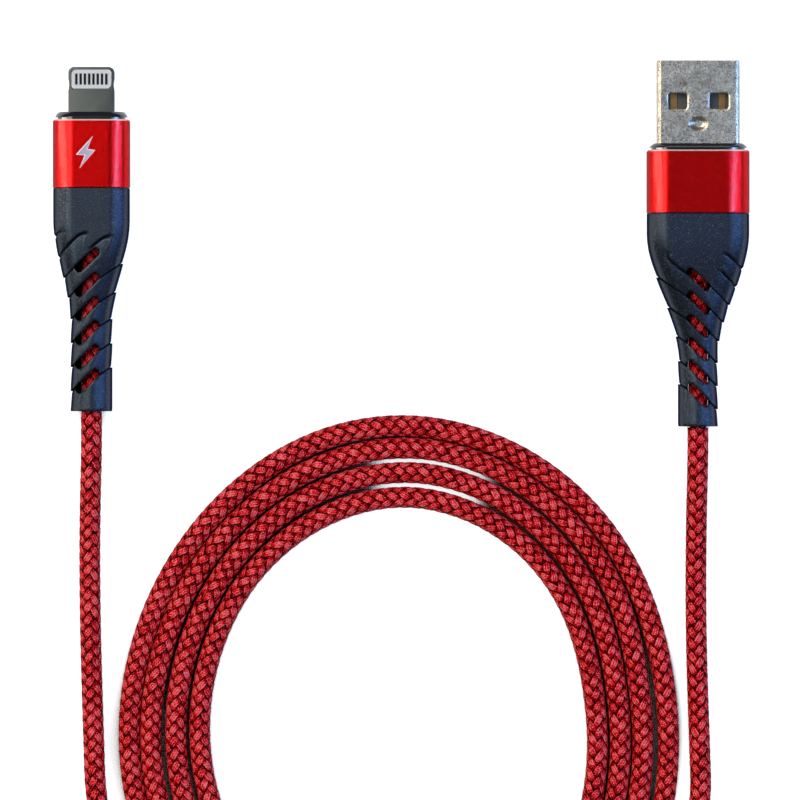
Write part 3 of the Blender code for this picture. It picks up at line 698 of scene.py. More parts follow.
# Rubber: near black, with pale specks that catch the light, a painted navy shade where it turns
# away, where it's matt too, and painted shade in slots, grooves and creases.
bootLook = {
    "grain": (5200.0, 420.0, 0.034 * mm, 0.65),
    "charcoal": ((0.005, 0.006, 0.009), (0.012, 0.013, 0.018)),
    "speck": (0.09, 0.105, 0.13),
    "speckRise": (7.0, -4.0),          # of the fine grain, for sparse specks
    "speckSoft": 0.2,
    # painted navy shade where the rubber turns from the eye
    "side": (0.012, 0.022, 0.048),
    "sideShadeRange": (0.27, 0.60),
    # painted shade in slots, grooves and creases
    "hollow": (0.001, 0.001, 0.001),   # in slots, grooves and creases
    "hollowRough": 0.6,
    "rough": (0.26, 0.06),             # spread by the grain, and the least
    "gloss": 0.41,
    "speckCoat": 0.8,
    "coatRough": 0.13,
    "tint": (0.56, 0.76, 1.0, 1.0),
    "coatTint": (0.80, 0.90, 1.0, 1.0),
}


def bootMaterial():
    look = bootLook
    material, wires, shader = newMaterial("bootCharcoal", Coat_Roughness=look["coatRough"],
                                          Specular_Tint=look["tint"], Coat_Tint=look["coatTint"])
    grit = grained(wires, *look["grain"])
    # mask of the painted shade: the slots' walls and the dark lines in grooves and creases
    hollow = wires.math("MAXIMUM", marked(wires, "inside"), marked(wires, "crease"))
    away = awayFromEye(wires, *look["sideShadeRange"])
    matt = wires.math("MAXIMUM", away, hollow)
    speck = wires.math("MULTIPLY_ADD", grit["Fine"], *look["speckRise"])
    speck = wires.math("SMOOTH_MAX", speck, 0.0, look["speckSoft"])
    speck = wires.math("MINIMUM", speck, 1.0)
    colour = blend(wires, grit["Broad"], *look["charcoal"])
    colour = blend(wires, speck, colour, look["speck"])
    # painted navy shade where the rubber turns from the eye
    colour = blend(wires, away, colour, look["side"])
    rough = wires.math("MULTIPLY_ADD", grit["Fine"], *look["rough"])
    rough = wires.math("MULTIPLY_ADD", hollow, look["hollowRough"], rough)
    gloss = wires.math("MULTIPLY_ADD", matt, -look["gloss"], look["gloss"])
    coat = wires.math("MULTIPLY_ADD", matt, -look["speckCoat"], look["speckCoat"])
    dress(wires, shader, Base_Color=blend(wires, hollow, colour, look["hollow"]), Roughness=rough,
          Specular_IOR_Level=gloss, Coat_Weight=wires.math("MULTIPLY", speck, coat),
          Normal=grit["Normal"])
    return material


# Anodised aluminium: grainy red, painted shade deepening it where it turns away, a bare cut edge.
anodisedLook = {
    "metallic": 0.93,
    "grain": (6400.0, 900.0, 0.011 * mm, 0.65),
    "reds": ((0.67, 0.0035, 0.003), (0.77, 0.0045, 0.004)),
    "pit": (0.42, 0.002, 0.002),
    "pitRise": (1.8, -0.50),
    # painted shade where the red turns from the eye
    "side": (0.28, 0.001, 0.016),
    "sideShadeRange": (0.30, 0.75),
    "cut": (0.66, 0.50, 0.42),
    "cutRough": -0.4,                  # smoother by that share
    "rough": (0.24, 0.11),
    "sideRough": 0.35,
    "sideRoughRange": (0.55, 0.95),
    "sparkle": (3.6, -1.75),
    "coat": (0.05, 0.6),               # least and most
    "coatRough": 0.08,
    "tint": (0.55, 0.10, 0.16, 1.0),
}


def anodisedMaterial():
    look = anodisedLook
    material, wires, shader = newMaterial("anodisedRed", metallic=look["metallic"],
                                          Coat_Roughness=look["coatRough"],
                                          Specular_Tint=look["tint"])
    grit = grained(wires, *look["grain"])
    cut = marked(wires, "cut")
    red = blend(wires, grit["Broad"], *look["reds"])
    pit = wires.math("MULTIPLY_ADD", grit["Fine"], *look["pitRise"])
    red = blend(wires, pit, look["pit"], red)
    # painted shade where the red turns from the eye
    red = blend(wires, awayFromEye(wires, *look["sideShadeRange"]), red, look["side"])
    rough = wires.math("MULTIPLY_ADD", grit["Fine"], *look["rough"])
    rough = wires.math("MULTIPLY_ADD", awayFromEye(wires, *look["sideRoughRange"]),
                       look["sideRough"], rough)
    smoother = wires.math("MULTIPLY_ADD", cut, look["cutRough"], 1.0)
    sparkle = wires.math("MULTIPLY_ADD", grit["Fine"], *look["sparkle"])
    least, most = look["coat"]
    sparkle = wires.math("MINIMUM", wires.math("MAXIMUM", sparkle, least), most)
    dress(wires, shader, Base_Color=blend(wires, cut, red, look["cut"]),
          Roughness=wires.math("MULTIPLY", rough, smoother), Coat_Weight=sparkle,
          Normal=grit["Normal"])
    return material


# The charging mark: silver, brighter on its sloping edge.
markLook = {
    "metallic": 0.3,
    "roughness": 0.42,
    "grain": (9000.0, 900.0, 0.006 * mm),
    "silver": ((0.36, 0.31, 0.38), (0.56, 0.48, 0.58)),
    "edge": (0.92, 0.80, 0.72),
}


def markMaterial():
    look = markLook
    material, wires, shader = newMaterial("silverMark", metallic=look["metallic"],
                                          roughness=look["roughness"])
    grit = grained(wires, *look["grain"])
    flat = blend(wires, grit["Fine"], *look["silver"])
    dress(wires, shader, Base_Color=blend(wires, marked(wires, "cut"), flat, look["edge"]),
          Normal=grit["Normal"])
    return material


# Stamped sheet: mottled in fine spots, a little darker in broad patches.
steelLook = {
    "grain": (6000.0, 700.0, 0.010 * mm, 0.7),
    "patches": 0.30,
    "greys": ((0.35, (0.17, 0.150, 0.120)), (0.50, (0.38, 0.342, 0.270)),
              (0.65, (0.70, 0.635, 0.505))),
    "rough": (0.34, 0.11),
}


def steelMaterial():
    look = steelLook
    material, wires, shader = newMaterial("stampedSteel", metallic=1.0)
    grit = grained(wires, *look["grain"])
    greys = ramp(wires, mottled(wires, grit, look["patches"]), look["greys"])
    rough = wires.math("MULTIPLY_ADD", grit["Fine"], *look["rough"])
    dress(wires, shader, Base_Color=greys, Roughness=rough, Normal=grit["Normal"])
    return material


# A moulded plastic or a metal with a fine grain: colour, how much it varies, roughness, bump.
def plainMaterial(name, colour, roughness, metallic=0.0, scale=5000.0, vary=0.25,
                  depth=0.006 * mm, **sockets):
    material, wires, shader = newMaterial(name, metallic=metallic, **sockets)
    grit = grained(wires, scale, scale / 9, depth)
    dark = tuple(c * (1 - vary) for c in colour)
    light = tuple(min(c * (1 + vary), 1.0) for c in colour)
    rough = wires.math("MULTIPLY_ADD", grit["Broad"], roughness * 0.5, roughness * 0.75)
    dress(wires, shader, Base_Color=blend(wires, mottled(wires, grit, 0.4), dark, light),
          Roughness=rough, Normal=grit["Normal"])
    return material


rubber = bootMaterial()
anodised = anodisedMaterial()
glossBlack = plainMaterial("glossBlack", (0.004, 0.005, 0.010), 0.16, scale=2500.0,
                           depth=0.002 * mm, Coat_Weight=0.5, Coat_Roughness=0.05)
steel = steelMaterial()
bladeMetal = plainMaterial("bladeSteel", (0.070, 0.077, 0.073), 0.34, metallic=1.0, scale=6000.0,
                           vary=0.28, depth=0.004 * mm)
gold = plainMaterial("goldPlate", (0.50, 0.27, 0.09), 0.20, metallic=1.0, scale=4000.0, vary=0.4)
contactDark = plainMaterial("contactDark", (0.004, 0.004, 0.005), 0.45, vary=0.3,
                            Specular_IOR_Level=0.15)
insertGrey = plainMaterial("insertGrey", (0.75, 0.72, 0.65), 0.40, scale=6000.0, vary=0.06)
tongueBlack = plainMaterial("tongueBlack", (0.085, 0.090, 0.085), 0.42, scale=6000.0)
mouldWhite = plainMaterial("mouldWhite", (0.72, 0.72, 0.70), 0.45, scale=4000.0, vary=0.06)
jacketDark = plainMaterial("jacketGrey", (0.030, 0.030, 0.034), 0.55, scale=3000.0)
boardGreen = plainMaterial("boardGreen", (0.012, 0.16, 0.06), 0.30, scale=3000.0, vary=0.3)
silverMark = markMaterial()
wireLooks = {
    "red": plainMaterial("wireRed", (0.55, 0.015, 0.012), 0.35, vary=0.15),
    "white": plainMaterial("wireWhite", (0.78, 0.78, 0.76), 0.35, vary=0.06),
    "green": plainMaterial("wireGreen", (0.02, 0.30, 0.06), 0.35, vary=0.15),
    "black": plainMaterial("wireBlack", (0.015, 0.015, 0.016), 0.35, vary=0.25),
}


# Boots: a moulded sleeve from the housing's outline to a round mouth, with slanting slots.
# The surface is laid in rows that slant with the slots. Each slot's upper edge runs on as a step
# to the near side, and its lower edge as a step to the far side, as ribs that overlap. Creases
# lie in front of the slots. Lengths along a boot are counted from its mouth.
boots = {
    "pointsRound": 270,
    "sections": 200,
    "settling": 6,              # rounds in which the slanting rows find their places
    "setIn": 0.05 * mm,
    "bore": 1.46 * mm,
    "mouthLip": 0.25 * mm,
    "mouthRound": 0.075 * mm,
    "mouthEdge": 0.05 * mm,     # the last row but one is at least this far from the mouth
    "spigotStart": 0.3 * mm,    # past the boot's own length
    "spigotDepth": 1.2 * mm,
    "spigotIn": 0.9 * mm,       # inside the housing's outline
    "slantIn": 3.1 * mm,        # from the mouth, over which the rows come to their slant
    "flatEnd": 0.2 * mm,        # short of the housing, where they are level again
    "slant": math.radians(44),
    "farSlant": math.radians(33),
    "web": 0.16 * mm,           # half of the wall between the upper and the lower slots
    "cutReach": 6.0 * mm,
    "joint": 0.24 * mm,         # how far the boot closes up to the housing
    "jointEdge": 0.06 * mm,
    "slotReach": 1.7 * mm,      # half of a slot's length, seen across the boot
    "slotRound": 0.42,          # its corners' share of its width
    "stepFrom": 0.8 * mm,       # beside the middle, where the steps begin
    "stepGrow": 0.9 * mm,
    "stepDepth": 0.21 * mm,
    "stepEdge": 0.02 * mm,
    "sweep": 1.7,               # how late each step's hollow deepens
    "grooveDepth": 0.16 * mm,
    "grooveWidth": 0.17 * mm,
    # painted shade along each groove, drawn this many widths wide
    "grooveShadeLine": 1.15,         # how wide it is drawn dark, in widths
    "lipWidth": 0.26 * mm,      # the slots' rounded edges
    "lipDepth": 0.10 * mm,
    "wallSeen": 0.04 * mm,      # reach round a slot's outline that still counts as its wall,
    "wallSteep": 0.3,           # where it leans no more than this
    "rowGap": 0.19 * mm,
    "rowClear": 0.08 * mm,
    "creaseWidth": 0.26 * mm,   # the creases in front of the slots
    "creaseDepth": 0.17 * mm,
    "creaseStep": 0.11 * mm,    # how far the leaf behind a crease lies lower
    "creaseReach": 0.8 * mm,
    "creaseFaint": 0.25,        # share of its depth that a crease has at its end
    "creaseGap": 0.10 * mm,     # between rows where the creases lie,
    "creaseEnd": 1.5 * mm,      # up to this far from the housing
}
phoneBoot = {
    "housing": (11.2 * mm, 6.6 * mm, 2.9 * mm),
    "length": 32.1 * mm,
    "straight": 4.2 * mm,
    "taper": 15.6 * mm,
    "end": 6.05 * mm,
    "slotStart": 4.4 * mm,
    "slotPitch": 3.5 * mm,
    "slots": 6,
    "slotLength": 4.5 * mm,
    "slotWidth": 1.28 * mm,
    "mirror": 1,
    "slotAside": -0.55 * mm,
    "leanEnd": 24.5 * mm,
    "farSteps": 5,
    # (across, along) in mm, from the silhouette inwards
    "creases": (
        ((-5.9, 24.6), (-5.60, 25.0), (-5.25, 25.5), (-4.85, 25.9), (-4.45, 26.08),
         (-4.10, 26.05), (-3.85, 25.9)),
        ((-5.4, 21.6), (-4.80, 22.3), (-4.09, 23.2), (-3.39, 24.0), (-2.68, 24.7),
         (-1.99, 25.35), (-1.58, 25.6), (-1.17, 25.8), (-0.83, 25.85), (-0.51, 25.75),
         (-0.30, 25.5)),
        ((-0.07, 23.6), (0.44, 24.1), (0.94, 24.5), (1.44, 24.9), (1.94, 25.2),
         (2.35, 25.36), (2.76, 25.4), (3.06, 25.35), (3.26, 25.16)),
    ),
}
usbBoot = {
    "housing": (14.9 * mm, 8.0 * mm, 3.1 * mm),
    "length": 30.6 * mm,
    "straight": 2.5 * mm,
    "taper": 18.1 * mm,
    "end": 5.8 * mm,
    "slotStart": 4.55 * mm,
    "slotPitch": 3.35 * mm,
    "slots": 6,
    "slotLength": 4.25 * mm,
    "slotWidth": 1.15 * mm,
    "mirror": -1,
    "slotAside": 0.05 * mm,
    "leanEnd": 23.0 * mm,
    "farSteps": 5,
    "creases": (
        ((-6.6, 22.7), (-6.10, 23.2), (-5.58, 23.65), (-5.08, 24.1), (-4.55, 24.6),
         (-4.23, 24.9), (-3.97, 25.04), (-3.75, 24.97), (-3.58, 24.74)),
        ((-5.7, 20.1), (-5.13, 20.66), (-4.68, 21.1), (-4.16, 21.6), (-3.71, 22.08),
         (-3.39, 22.34), (-3.13, 22.48), (-2.90, 22.43)),
        ((1.70, 22.13), (1.86, 22.26), (2.57, 22.77), (3.22, 23.27), (3.86, 23.81),
         (4.23, 24.2), (4.45, 24.48), (4.41, 24.77), (4.15, 25.0), (3.86, 25.03)),
    ),
}


# The same outline with its points at equal distances round it.
def evenOutline(size, count):
    fine = outline(*size, cornerPoints=24, sidePoints=8)
    start = np.array([[size[0] / 2, 0.0]])
    lastSide = fine[-8:]
    fine = np.vstack([start, fine[:-8], lastSide[lastSide[:, 1] < -1e-9], start])
    run = np.concatenate(([0], np.cumsum(np.linalg.norm(np.diff(fine, axis=0), axis=1))))
    wanted = np.arange(count) / count * run[-1]
    return np.stack([np.interp(wanted, run, fine[:, axis]) for axis in range(2)], axis=1)


def bootSections(boot, count):
    front = inset(boot["housing"], boots["setIn"])
    end = (boot["end"], boot["end"], boot["end"] / 2)
    sections = []
    for along in np.linspace(0, boot["length"], boots["sections"]):
        back = boot["length"] - along
        t = float(smoothStep((back - boot["straight"]) / boot["taper"]))
        sections.append(evenOutline([a + (b - a) * t for a, b in zip(front, end)], count))
    return np.array(sections)


# At places on a boot: the creases' narrow lines, and the leaves that start low behind them.
def creased(boot, across, along):
    line, leaf = np.zeros_like(across), np.zeros_like(across)
    for crease in boot["creases"]:
        crease = np.array(crease) * mm
        closest, side, run = np.full(across.shape, np.inf), np.zeros_like(across), 0.0
        left = np.zeros_like(across)
        lengths = np.linalg.norm(np.diff(crease, axis=0), axis=1)
        for start, end, length in zip(crease, crease[1:], lengths):
            ahead = (end - start) / length
            dx, dy = across - start[0], along - start[1]
            t = np.clip(dx * ahead[0] + dy * ahead[1], 0, length)
            away = np.hypot(dx - ahead[0] * t, dy - ahead[1] * t)
            nearer = away < closest
            closest = np.where(nearer, away, closest)
            side = np.where(nearer, dx * ahead[1] - dy * ahead[0], side)
            left = np.where(nearer, lengths.sum() - run - t, left)
            run += length
        end = smoothStep(left / boots["creaseReach"])
        faint = boots["creaseFaint"]
        deep = smoothStep(1 - closest / boots["creaseWidth"]) * (faint + (1 - faint) * end)
        low = np.exp(-closest / boots["creaseReach"]) * (side > 0) * end
        line, leaf = np.maximum(line, deep), np.maximum(leaf, low)
    return line, leaf


# Where the steps stand along a boot's middle: near ones at the slots' upper edges, far ones at
# their lower edges.
def stepPlaces(boot):
    halfEdge = boot["slotWidth"] / 2 / math.cos(boots["slant"])
    near = boot["slotStart"] + halfEdge + boot["slotPitch"] * np.arange(boot["slots"])
    far = boot["slotStart"] - halfEdge + boot["slotPitch"] * np.arange(boot["farSteps"])
    return near, far


# Rows along a boot, with one close on either side of every step and groove.
def rowPlaces(boot, near, far):
    length, groove, edge = boot["length"], boots["grooveWidth"], boots["stepEdge"]
    rows = set(np.linspace(0, length, round(length / boots["rowGap"]) + 1))
    rows |= set(np.arange(near[-1] + groove, length - boots["creaseEnd"], boots["creaseGap"]))
    marks = [place + offset for place in near for offset in (-groove - edge, -edge, edge)]
    marks += [place + offset for place in far for offset in (-edge, edge, groove + edge)]
    rows = {row for row in rows if all(abs(row - mark) > boots["rowClear"] for mark in marks)}
    return np.array(sorted(rows | set(marks)))[:, None]


# How much further along a row lies at u to the side.
def slanted(boot, rows, u):
    flatEnd = boot["length"] - boots["flatEnd"]
    share = np.clip(rows / boots["slantIn"], 0, 1)
    share = share * np.clip((flatEnd - rows) / (flatEnd - boot["leanEnd"]), 0, 1)
    lean = np.minimum(u, boots["slotReach"]) * math.tan(boots["slant"])
    lean += np.maximum(u - boots["slotReach"], 0) * math.tan(boots["farSlant"])
    return share * lean


def besideSlots(u):
    return smoothStep((u - boots["stepFrom"]) / boots["stepGrow"])


# How deep the hollows between steps and the grooves at them are sunk.
def ribs(boot, rows, u, near, far):
    pitch, groove = boot["slotPitch"], boots["grooveWidth"]

    def hollow(rows, first, last):
        part = (rows - first) / pitch
        part = np.where((rows > first - pitch) & (rows < last), part - np.floor(part), 0.0)
        return boots["stepDepth"] * part ** boots["sweep"]

    nearGroove = np.max([(rows <= place) & (rows > place - groove) for place in near], axis=0)
    farGroove = np.max([(rows >= place) & (rows < place + groove) for place in far], axis=0)
    nearDeep = hollow(rows, near[0], near[-1]) + boots["grooveDepth"] * nearGroove
    farDeep = hollow(-rows, -far[-1], -far[0]) + boots["grooveDepth"] * farGroove
    return besideSlots(-u) * nearDeep + besideSlots(u) * farDeep


# How far places lie outside the nearest slot's outline, less than 0 within it.
def fromSlots(boot, u, along):
    c, s = math.cos(boots["slant"]), math.sin(boots["slant"])
    halfBar = (boot["slotLength"] - boot["slotWidth"]) / 2
    away = []
    for number in range(boot["slots"]):
        ahead = along - boot["slotStart"] - number * boot["slotPitch"]
        beside = np.maximum(np.abs(u * c + ahead * s) - halfBar, 0)
        away.append(np.hypot(beside, ahead * c - u * s) - boot["slotWidth"] / 2)
    return np.min(away, axis=0)


# The outer surface as rings from the housing to the mouth.
def bootOutside(boot, near, far):
    count, length = boots["pointsRound"], boot["length"]
    sections = bootSections(boot, count)
    tangent = np.roll(sections, -1, axis=1) - np.roll(sections, 1, axis=1)
    tangent /= np.linalg.norm(tangent, axis=2, keepdims=True)
    outward = np.stack([tangent[..., 1], -tangent[..., 0]], axis=-1)
    rows = rowPlaces(boot, near, far)

    def lookUp(table, along):
        at = np.clip(along / length, 0, 1) * (len(table) - 1)
        low = np.minimum(at.astype(int), len(table) - 2)
        t = (at - low)[..., None]
        around = np.arange(count)[None]
        return table[low, around] * (1 - t) + table[low + 1, around] * t

    along = np.repeat(rows, count, axis=1)
    for _ in range(boots["settling"]):
        flat = lookUp(sections, along)
        along = rows + slanted(boot, rows, boot["mirror"] * flat[..., 0] - boot["slotAside"])
    flat = lookUp(sections, along)
    across = boot["mirror"] * flat[..., 0]
    u = across - boot["slotAside"]
    line, leaf = creased(boot, across, along)
    lip = np.clip(1 - fromSlots(boot, u, along) / boots["lipWidth"], 0, 1) ** 2
    sunk = (ribs(boot, rows, u, near, far) + boots["creaseDepth"] * line
            + boots["creaseStep"] * leaf + boots["lipDepth"] * lip)
    flat = flat - lookUp(outward, along) * sunk[..., None]
    return np.stack([flat[..., 0], along, flat[..., 1]], axis=-1)[::-1]


# All of a boot's rings: spigot, joint, outer surface, rounded mouth and bore.
def bootRings(boot, outside):
    count, housing, lip = boots["pointsRound"], boot["housing"], boots["mouthLip"]
    tip = boot["length"] + boots["spigotStart"] + boots["spigotDepth"]
    joint, edge = boot["length"] + boots["joint"], boots["jointEdge"]

    def ring(size, place):
        flat = evenOutline(size, count)
        return np.c_[flat[:, 0], np.full(count, place), flat[:, 1]]

    def bored(radius, place):
        return ring((2 * radius, 2 * radius, radius), place)

    middle = np.array([0, outside[-1][0, 1], 0])
    outside[-1] = middle + (outside[-1] - middle) * (1 - boots["mouthRound"] / (boot["end"] / 2))
    outside[-2, :, 1] = np.maximum(outside[-2, :, 1], boots["mouthEdge"])
    spigot = inset(housing, boots["spigotIn"])
    return [ring(spigot, tip), ring(spigot, joint + 0.01 * mm),
            ring(inset(housing, boots["setIn"] + edge), joint),
            ring(inset(housing, boots["setIn"]), joint - edge), *outside[1:],
            bored(boots["bore"] + lip, 0), bored(boots["bore"], lip), bored(boots["bore"], tip)]


# Bars that cut the slots, from above and from below.
def slotBars(boot, mouth):
    bars = []
    for number in range(boot["slots"]):
        bar = outline(boot["slotLength"], boot["slotWidth"],
                      boots["slotRound"] * boot["slotWidth"], cornerPoints=9, sidePoints=1)
        middle = (boot["mirror"] * boot["slotAside"],
                  boot["slotStart"] + number * boot["slotPitch"])
        bar = turned(bar, boot["mirror"] * boots["slant"], middle)
        for heights in ((boots["web"], boots["cutReach"]), (-boots["cutReach"], -boots["web"])):
            bars.append(upright("slot", bar, heights, mouth))
    return bars


# Masks for painted shade on the rubber: the slots' walls, and dark lines in the grooves and
# creases.
def markShadedHollows(mesh, boot, mouth, near, far):
    middles = spotsOf(mesh.polygons, "center") - np.array(mouth)
    steep = np.abs(spotsOf(mesh.polygons, "normal")[:, 2]) < boots["wallSteep"]
    deep = np.abs(middles[:, 2]) < boots["bore"]
    u = boot["mirror"] * middles[:, 0] - boot["slotAside"]
    wall = fromSlots(boot, u, middles[:, 1]) < boots["wallSeen"]
    keepMark(mesh, "inside", wall & (deep | steep))

    points = spotsOf(mesh.vertices, "co") - np.array(mouth)
    across, along = boot["mirror"] * points[:, 0], points[:, 1]
    line, _ = creased(boot, across, along)
    u, rows = across - boot["slotAside"], along
    for _ in range(boots["settling"]):
        rows = along - slanted(boot, rows, u)
    groove = boots["grooveWidth"]
    # painted shade lines along the grooves beside the slots
    for places, way in ((near - groove / 2, -1), (far + groove / 2, 1)):
        closest = np.min(np.abs(rows[:, None] - places), axis=1)
        dark = smoothStep(boots["grooveShadeLine"] - closest / groove) * besideSlots(way * u)
        line = np.maximum(line, dark)
    keepMark(mesh, "crease", line, "POINT")


def makeBoot(name, node, mouth, boot, material):
    near, far = stepPlaces(boot)
    mesh = skinOf(name, bootRings(boot, bootOutside(boot, near, far)), mouth)
    mesh = cutOut(mesh, slotBars(boot, mouth))
    markShadedHollows(mesh, boot, mouth, near, far)
    addPlugPiece(name, mesh, material, "boot_rubber", node)
    print(f"{name}: {len(mesh.polygons)} faces")


makeBoot("phoneBoot", "phone_boot", phoneMouth, phoneBoot, rubber)
makeBoot("usbBoot", "usb_boot", usbMouth, usbBoot, rubber)


# Housings and collars
sleeve = {
    "wall": 0.6 * mm,
    "frontCut": 0.20 * mm,
    "rearCut": 0.1 * mm,
    "collarIn": 0.3 * mm,
    "spigotIn": 0.66 * mm,
    "spigotDepth": 1.5 * mm,
    "edge": 0.06 * mm,
    "bulge": 0.18,
}
phoneCollar = {"face": (9.8 * mm, 5.2 * mm, 2.6 * mm), "hole": (7.3 * mm, 2.1 * mm, 0.3 * mm)}
usbCollar = {"face": (12.92 * mm, 5.42 * mm, 1.06 * mm),
             "hole": (12.12 * mm, 4.62 * mm, 0.66 * mm)}


def spanAlong(node, mouth):
    low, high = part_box(node)
    return low.y - mouth.y, high.y - mouth.y


def makeHousing(name, node, mouth, size):
    back, front = spanAlong(node, mouth)
    frontCut, rearCut = sleeve["frontCut"], sleeve["rearCut"]
    rings = [ringAt(inset(size, frontCut), front), ringAt(size, front - frontCut)]
    rings += [ringAt(size, back + rearCut + (front - frontCut - back - rearCut) * t)
              for t in (0.94, 0.5, 0.06, 0.0)]
    rings += [ringAt(inset(size, rearCut), back), ringAt(inset(size, sleeve["wall"]), back),
              ringAt(inset(size, sleeve["wall"]), front)]
    mesh = skinOf(name, rings, mouth)
    keepMark(mesh, "cut", spotsOf(mesh.polygons, "center")[:, 1] > mouth.y + front - frontCut)
    addPlugPiece(name, mesh, anodised, "red_anodised", node)


# A bulging bevel from the face to the rim, with the face's edge rounded, and a spigot behind.
def makeCollar(name, node, mouth, size, collar):
    face, hole = collar["face"], collar["hole"]
    tail, front = spanAlong(node, mouth)
    back = tail + sleeve["spigotDepth"]
    rim = inset(size, sleeve["collarIn"])
    spigot = inset(size, sleeve["spigotIn"])
    edge = sleeve["edge"]

    def between(t):
        return [a + (b - a) * t for a, b in zip(inset(face, edge * 0.2), rim)]

    rings = [ringAt(inset(face, edge), front)]
    rings += [ringAt(between(0.02), front - 0.4 * edge), ringAt(between(0.10), front - edge * 1.2)]
    for t in (0.3, 0.5, 0.7, 0.9):
        bulged = between(t + sleeve["bulge"] * math.sin(math.pi * t))
        rings.append(ringAt(bulged, front + (back - front) * t))
    rings += [ringAt(rim, back + edge / 2), ringAt(rim, back), ringAt(spigot, back),
              ringAt(spigot, tail), ringAt(hole, tail), ringAt(hole, front - edge),
              ringAt(inset(hole, -edge * 0.6), front)]
    addPlugPiece(name, skinOf(name, rings, mouth), glossBlack, "black_plastic", node)


makeHousing("phoneHousing", "phone_housing", phoneMouth, phoneBoot["housing"])
makeHousing("usbHousing", "usb_housing", usbMouth, usbBoot["housing"])
makeCollar("phoneCollar", "phone_collar", phoneMouth, phoneBoot["housing"], phoneCollar)
makeCollar("usbCollar", "usb_collar", usbMouth, usbBoot["housing"], usbCollar)


# Charging mark: a thin silver bolt let into the phone housing's flat top
mark = {
    "points": ((0.30, 39.85), (-0.46, 37.95), (0.66, 37.80), (-1.62, 35.15), (-0.86, 37.05),
               (-2.14, 37.15)),
    "height": 0.015 * mm,
    "depth": 0.10 * mm,
    "edge": 0.11 * mm,
}


# A flat outline of straight sides with every side moved in by an amount.
def cornersIn(flat, amount):
    ahead = np.roll(flat, -1, axis=0) - flat
    ahead /= np.linalg.norm(ahead, axis=1, keepdims=True)
    inward = np.c_[-ahead[:, 1], ahead[:, 0]]
    before = np.roll(inward, 1, axis=0)
    share = np.maximum(1 + (inward * before).sum(axis=1, keepdims=True), 0.25)
    return flat + (inward + before) / share * amount


def makeMark():
    top = phoneBoot["housing"][1] / 2
    flat = np.array(mark["points"])[::-1] * mm
    inner = cornersIn(flat, mark["edge"])
    rings = [np.c_[plan, np.full(len(plan), height)] for plan, height in (
        (flat, top - mark["depth"]), (flat, top), (inner, top + mark["height"]))]
    mesh = skinOf("phoneMark", rings, phoneMouth, closed=False)
    keepMark(mesh, "cut", [len(face.vertices) == 4 for face in mesh.polygons])
    addPlugPiece("phoneMark", mesh, silverMark, "stamped_steel", sharp=10)


makeMark()


# USB shell: folded sheet with two windows in each wide face and a stamped oval
shell = {
    "size": (12.0 * mm, 4.5 * mm, 0.6 * mm),
    "wall": 0.3 * mm,
    "grid": 0.15 * mm,
    "windowMiddle": 5.9 * mm,      # behind the rim
    "windowAcross": 3.0 * mm,
    "windowSize": (2.8 * mm, 2.3 * mm),
    "windowCorner": 0.4 * mm,
    "rollWidth": 0.22 * mm,        # the stamped edge's rounding
    "rollDepth": 0.06 * mm,
    "dimpleMiddle": 9.15 * mm,
    "dimpleReach": (1.49 * mm, 1.12 * mm),
    "dimpleDepth": 0.24 * mm,
    "dimpleSlope": 0.62,           # share of its reach that slopes
    "innerCorner": 0.25 * mm,
    "rim": 0.07 * mm,
    "seam": 0.05 * mm,             # where the sheet's edges meet underneath
    "seamWidth": 0.05 * mm,
    "cutReach": 5.0 * mm,
}


# How deep the sheet is pressed in: the dimple, the windows' rolled edges and the seam.
def pressed(across, behind, side):
    reach = np.hypot(across / shell["dimpleReach"][0],
                     (behind - shell["dimpleMiddle"]) / shell["dimpleReach"][1])
    sunk = shell["dimpleDepth"] * smoothStep((1 - reach) / shell["dimpleSlope"])
    halfWide, halfLong = (s / 2 - shell["windowCorner"] for s in shell["windowSize"])
    for middle in (-shell["windowAcross"], shell["windowAcross"]):
        dx = np.maximum(np.abs(across - middle) - halfWide, 0)
        dy = np.maximum(np.abs(behind - shell["windowMiddle"]) - halfLong, 0)
        away = np.hypot(dx, dy) - shell["windowCorner"]
        near = np.clip(1 - away / shell["rollWidth"], 0, 1)
        sunk = sunk + shell["rollDepth"] * near ** 2
    if side < 0:
        sunk = sunk + shell["seam"] * np.exp(-(across / shell["seamWidth"]) ** 2)
    return sunk


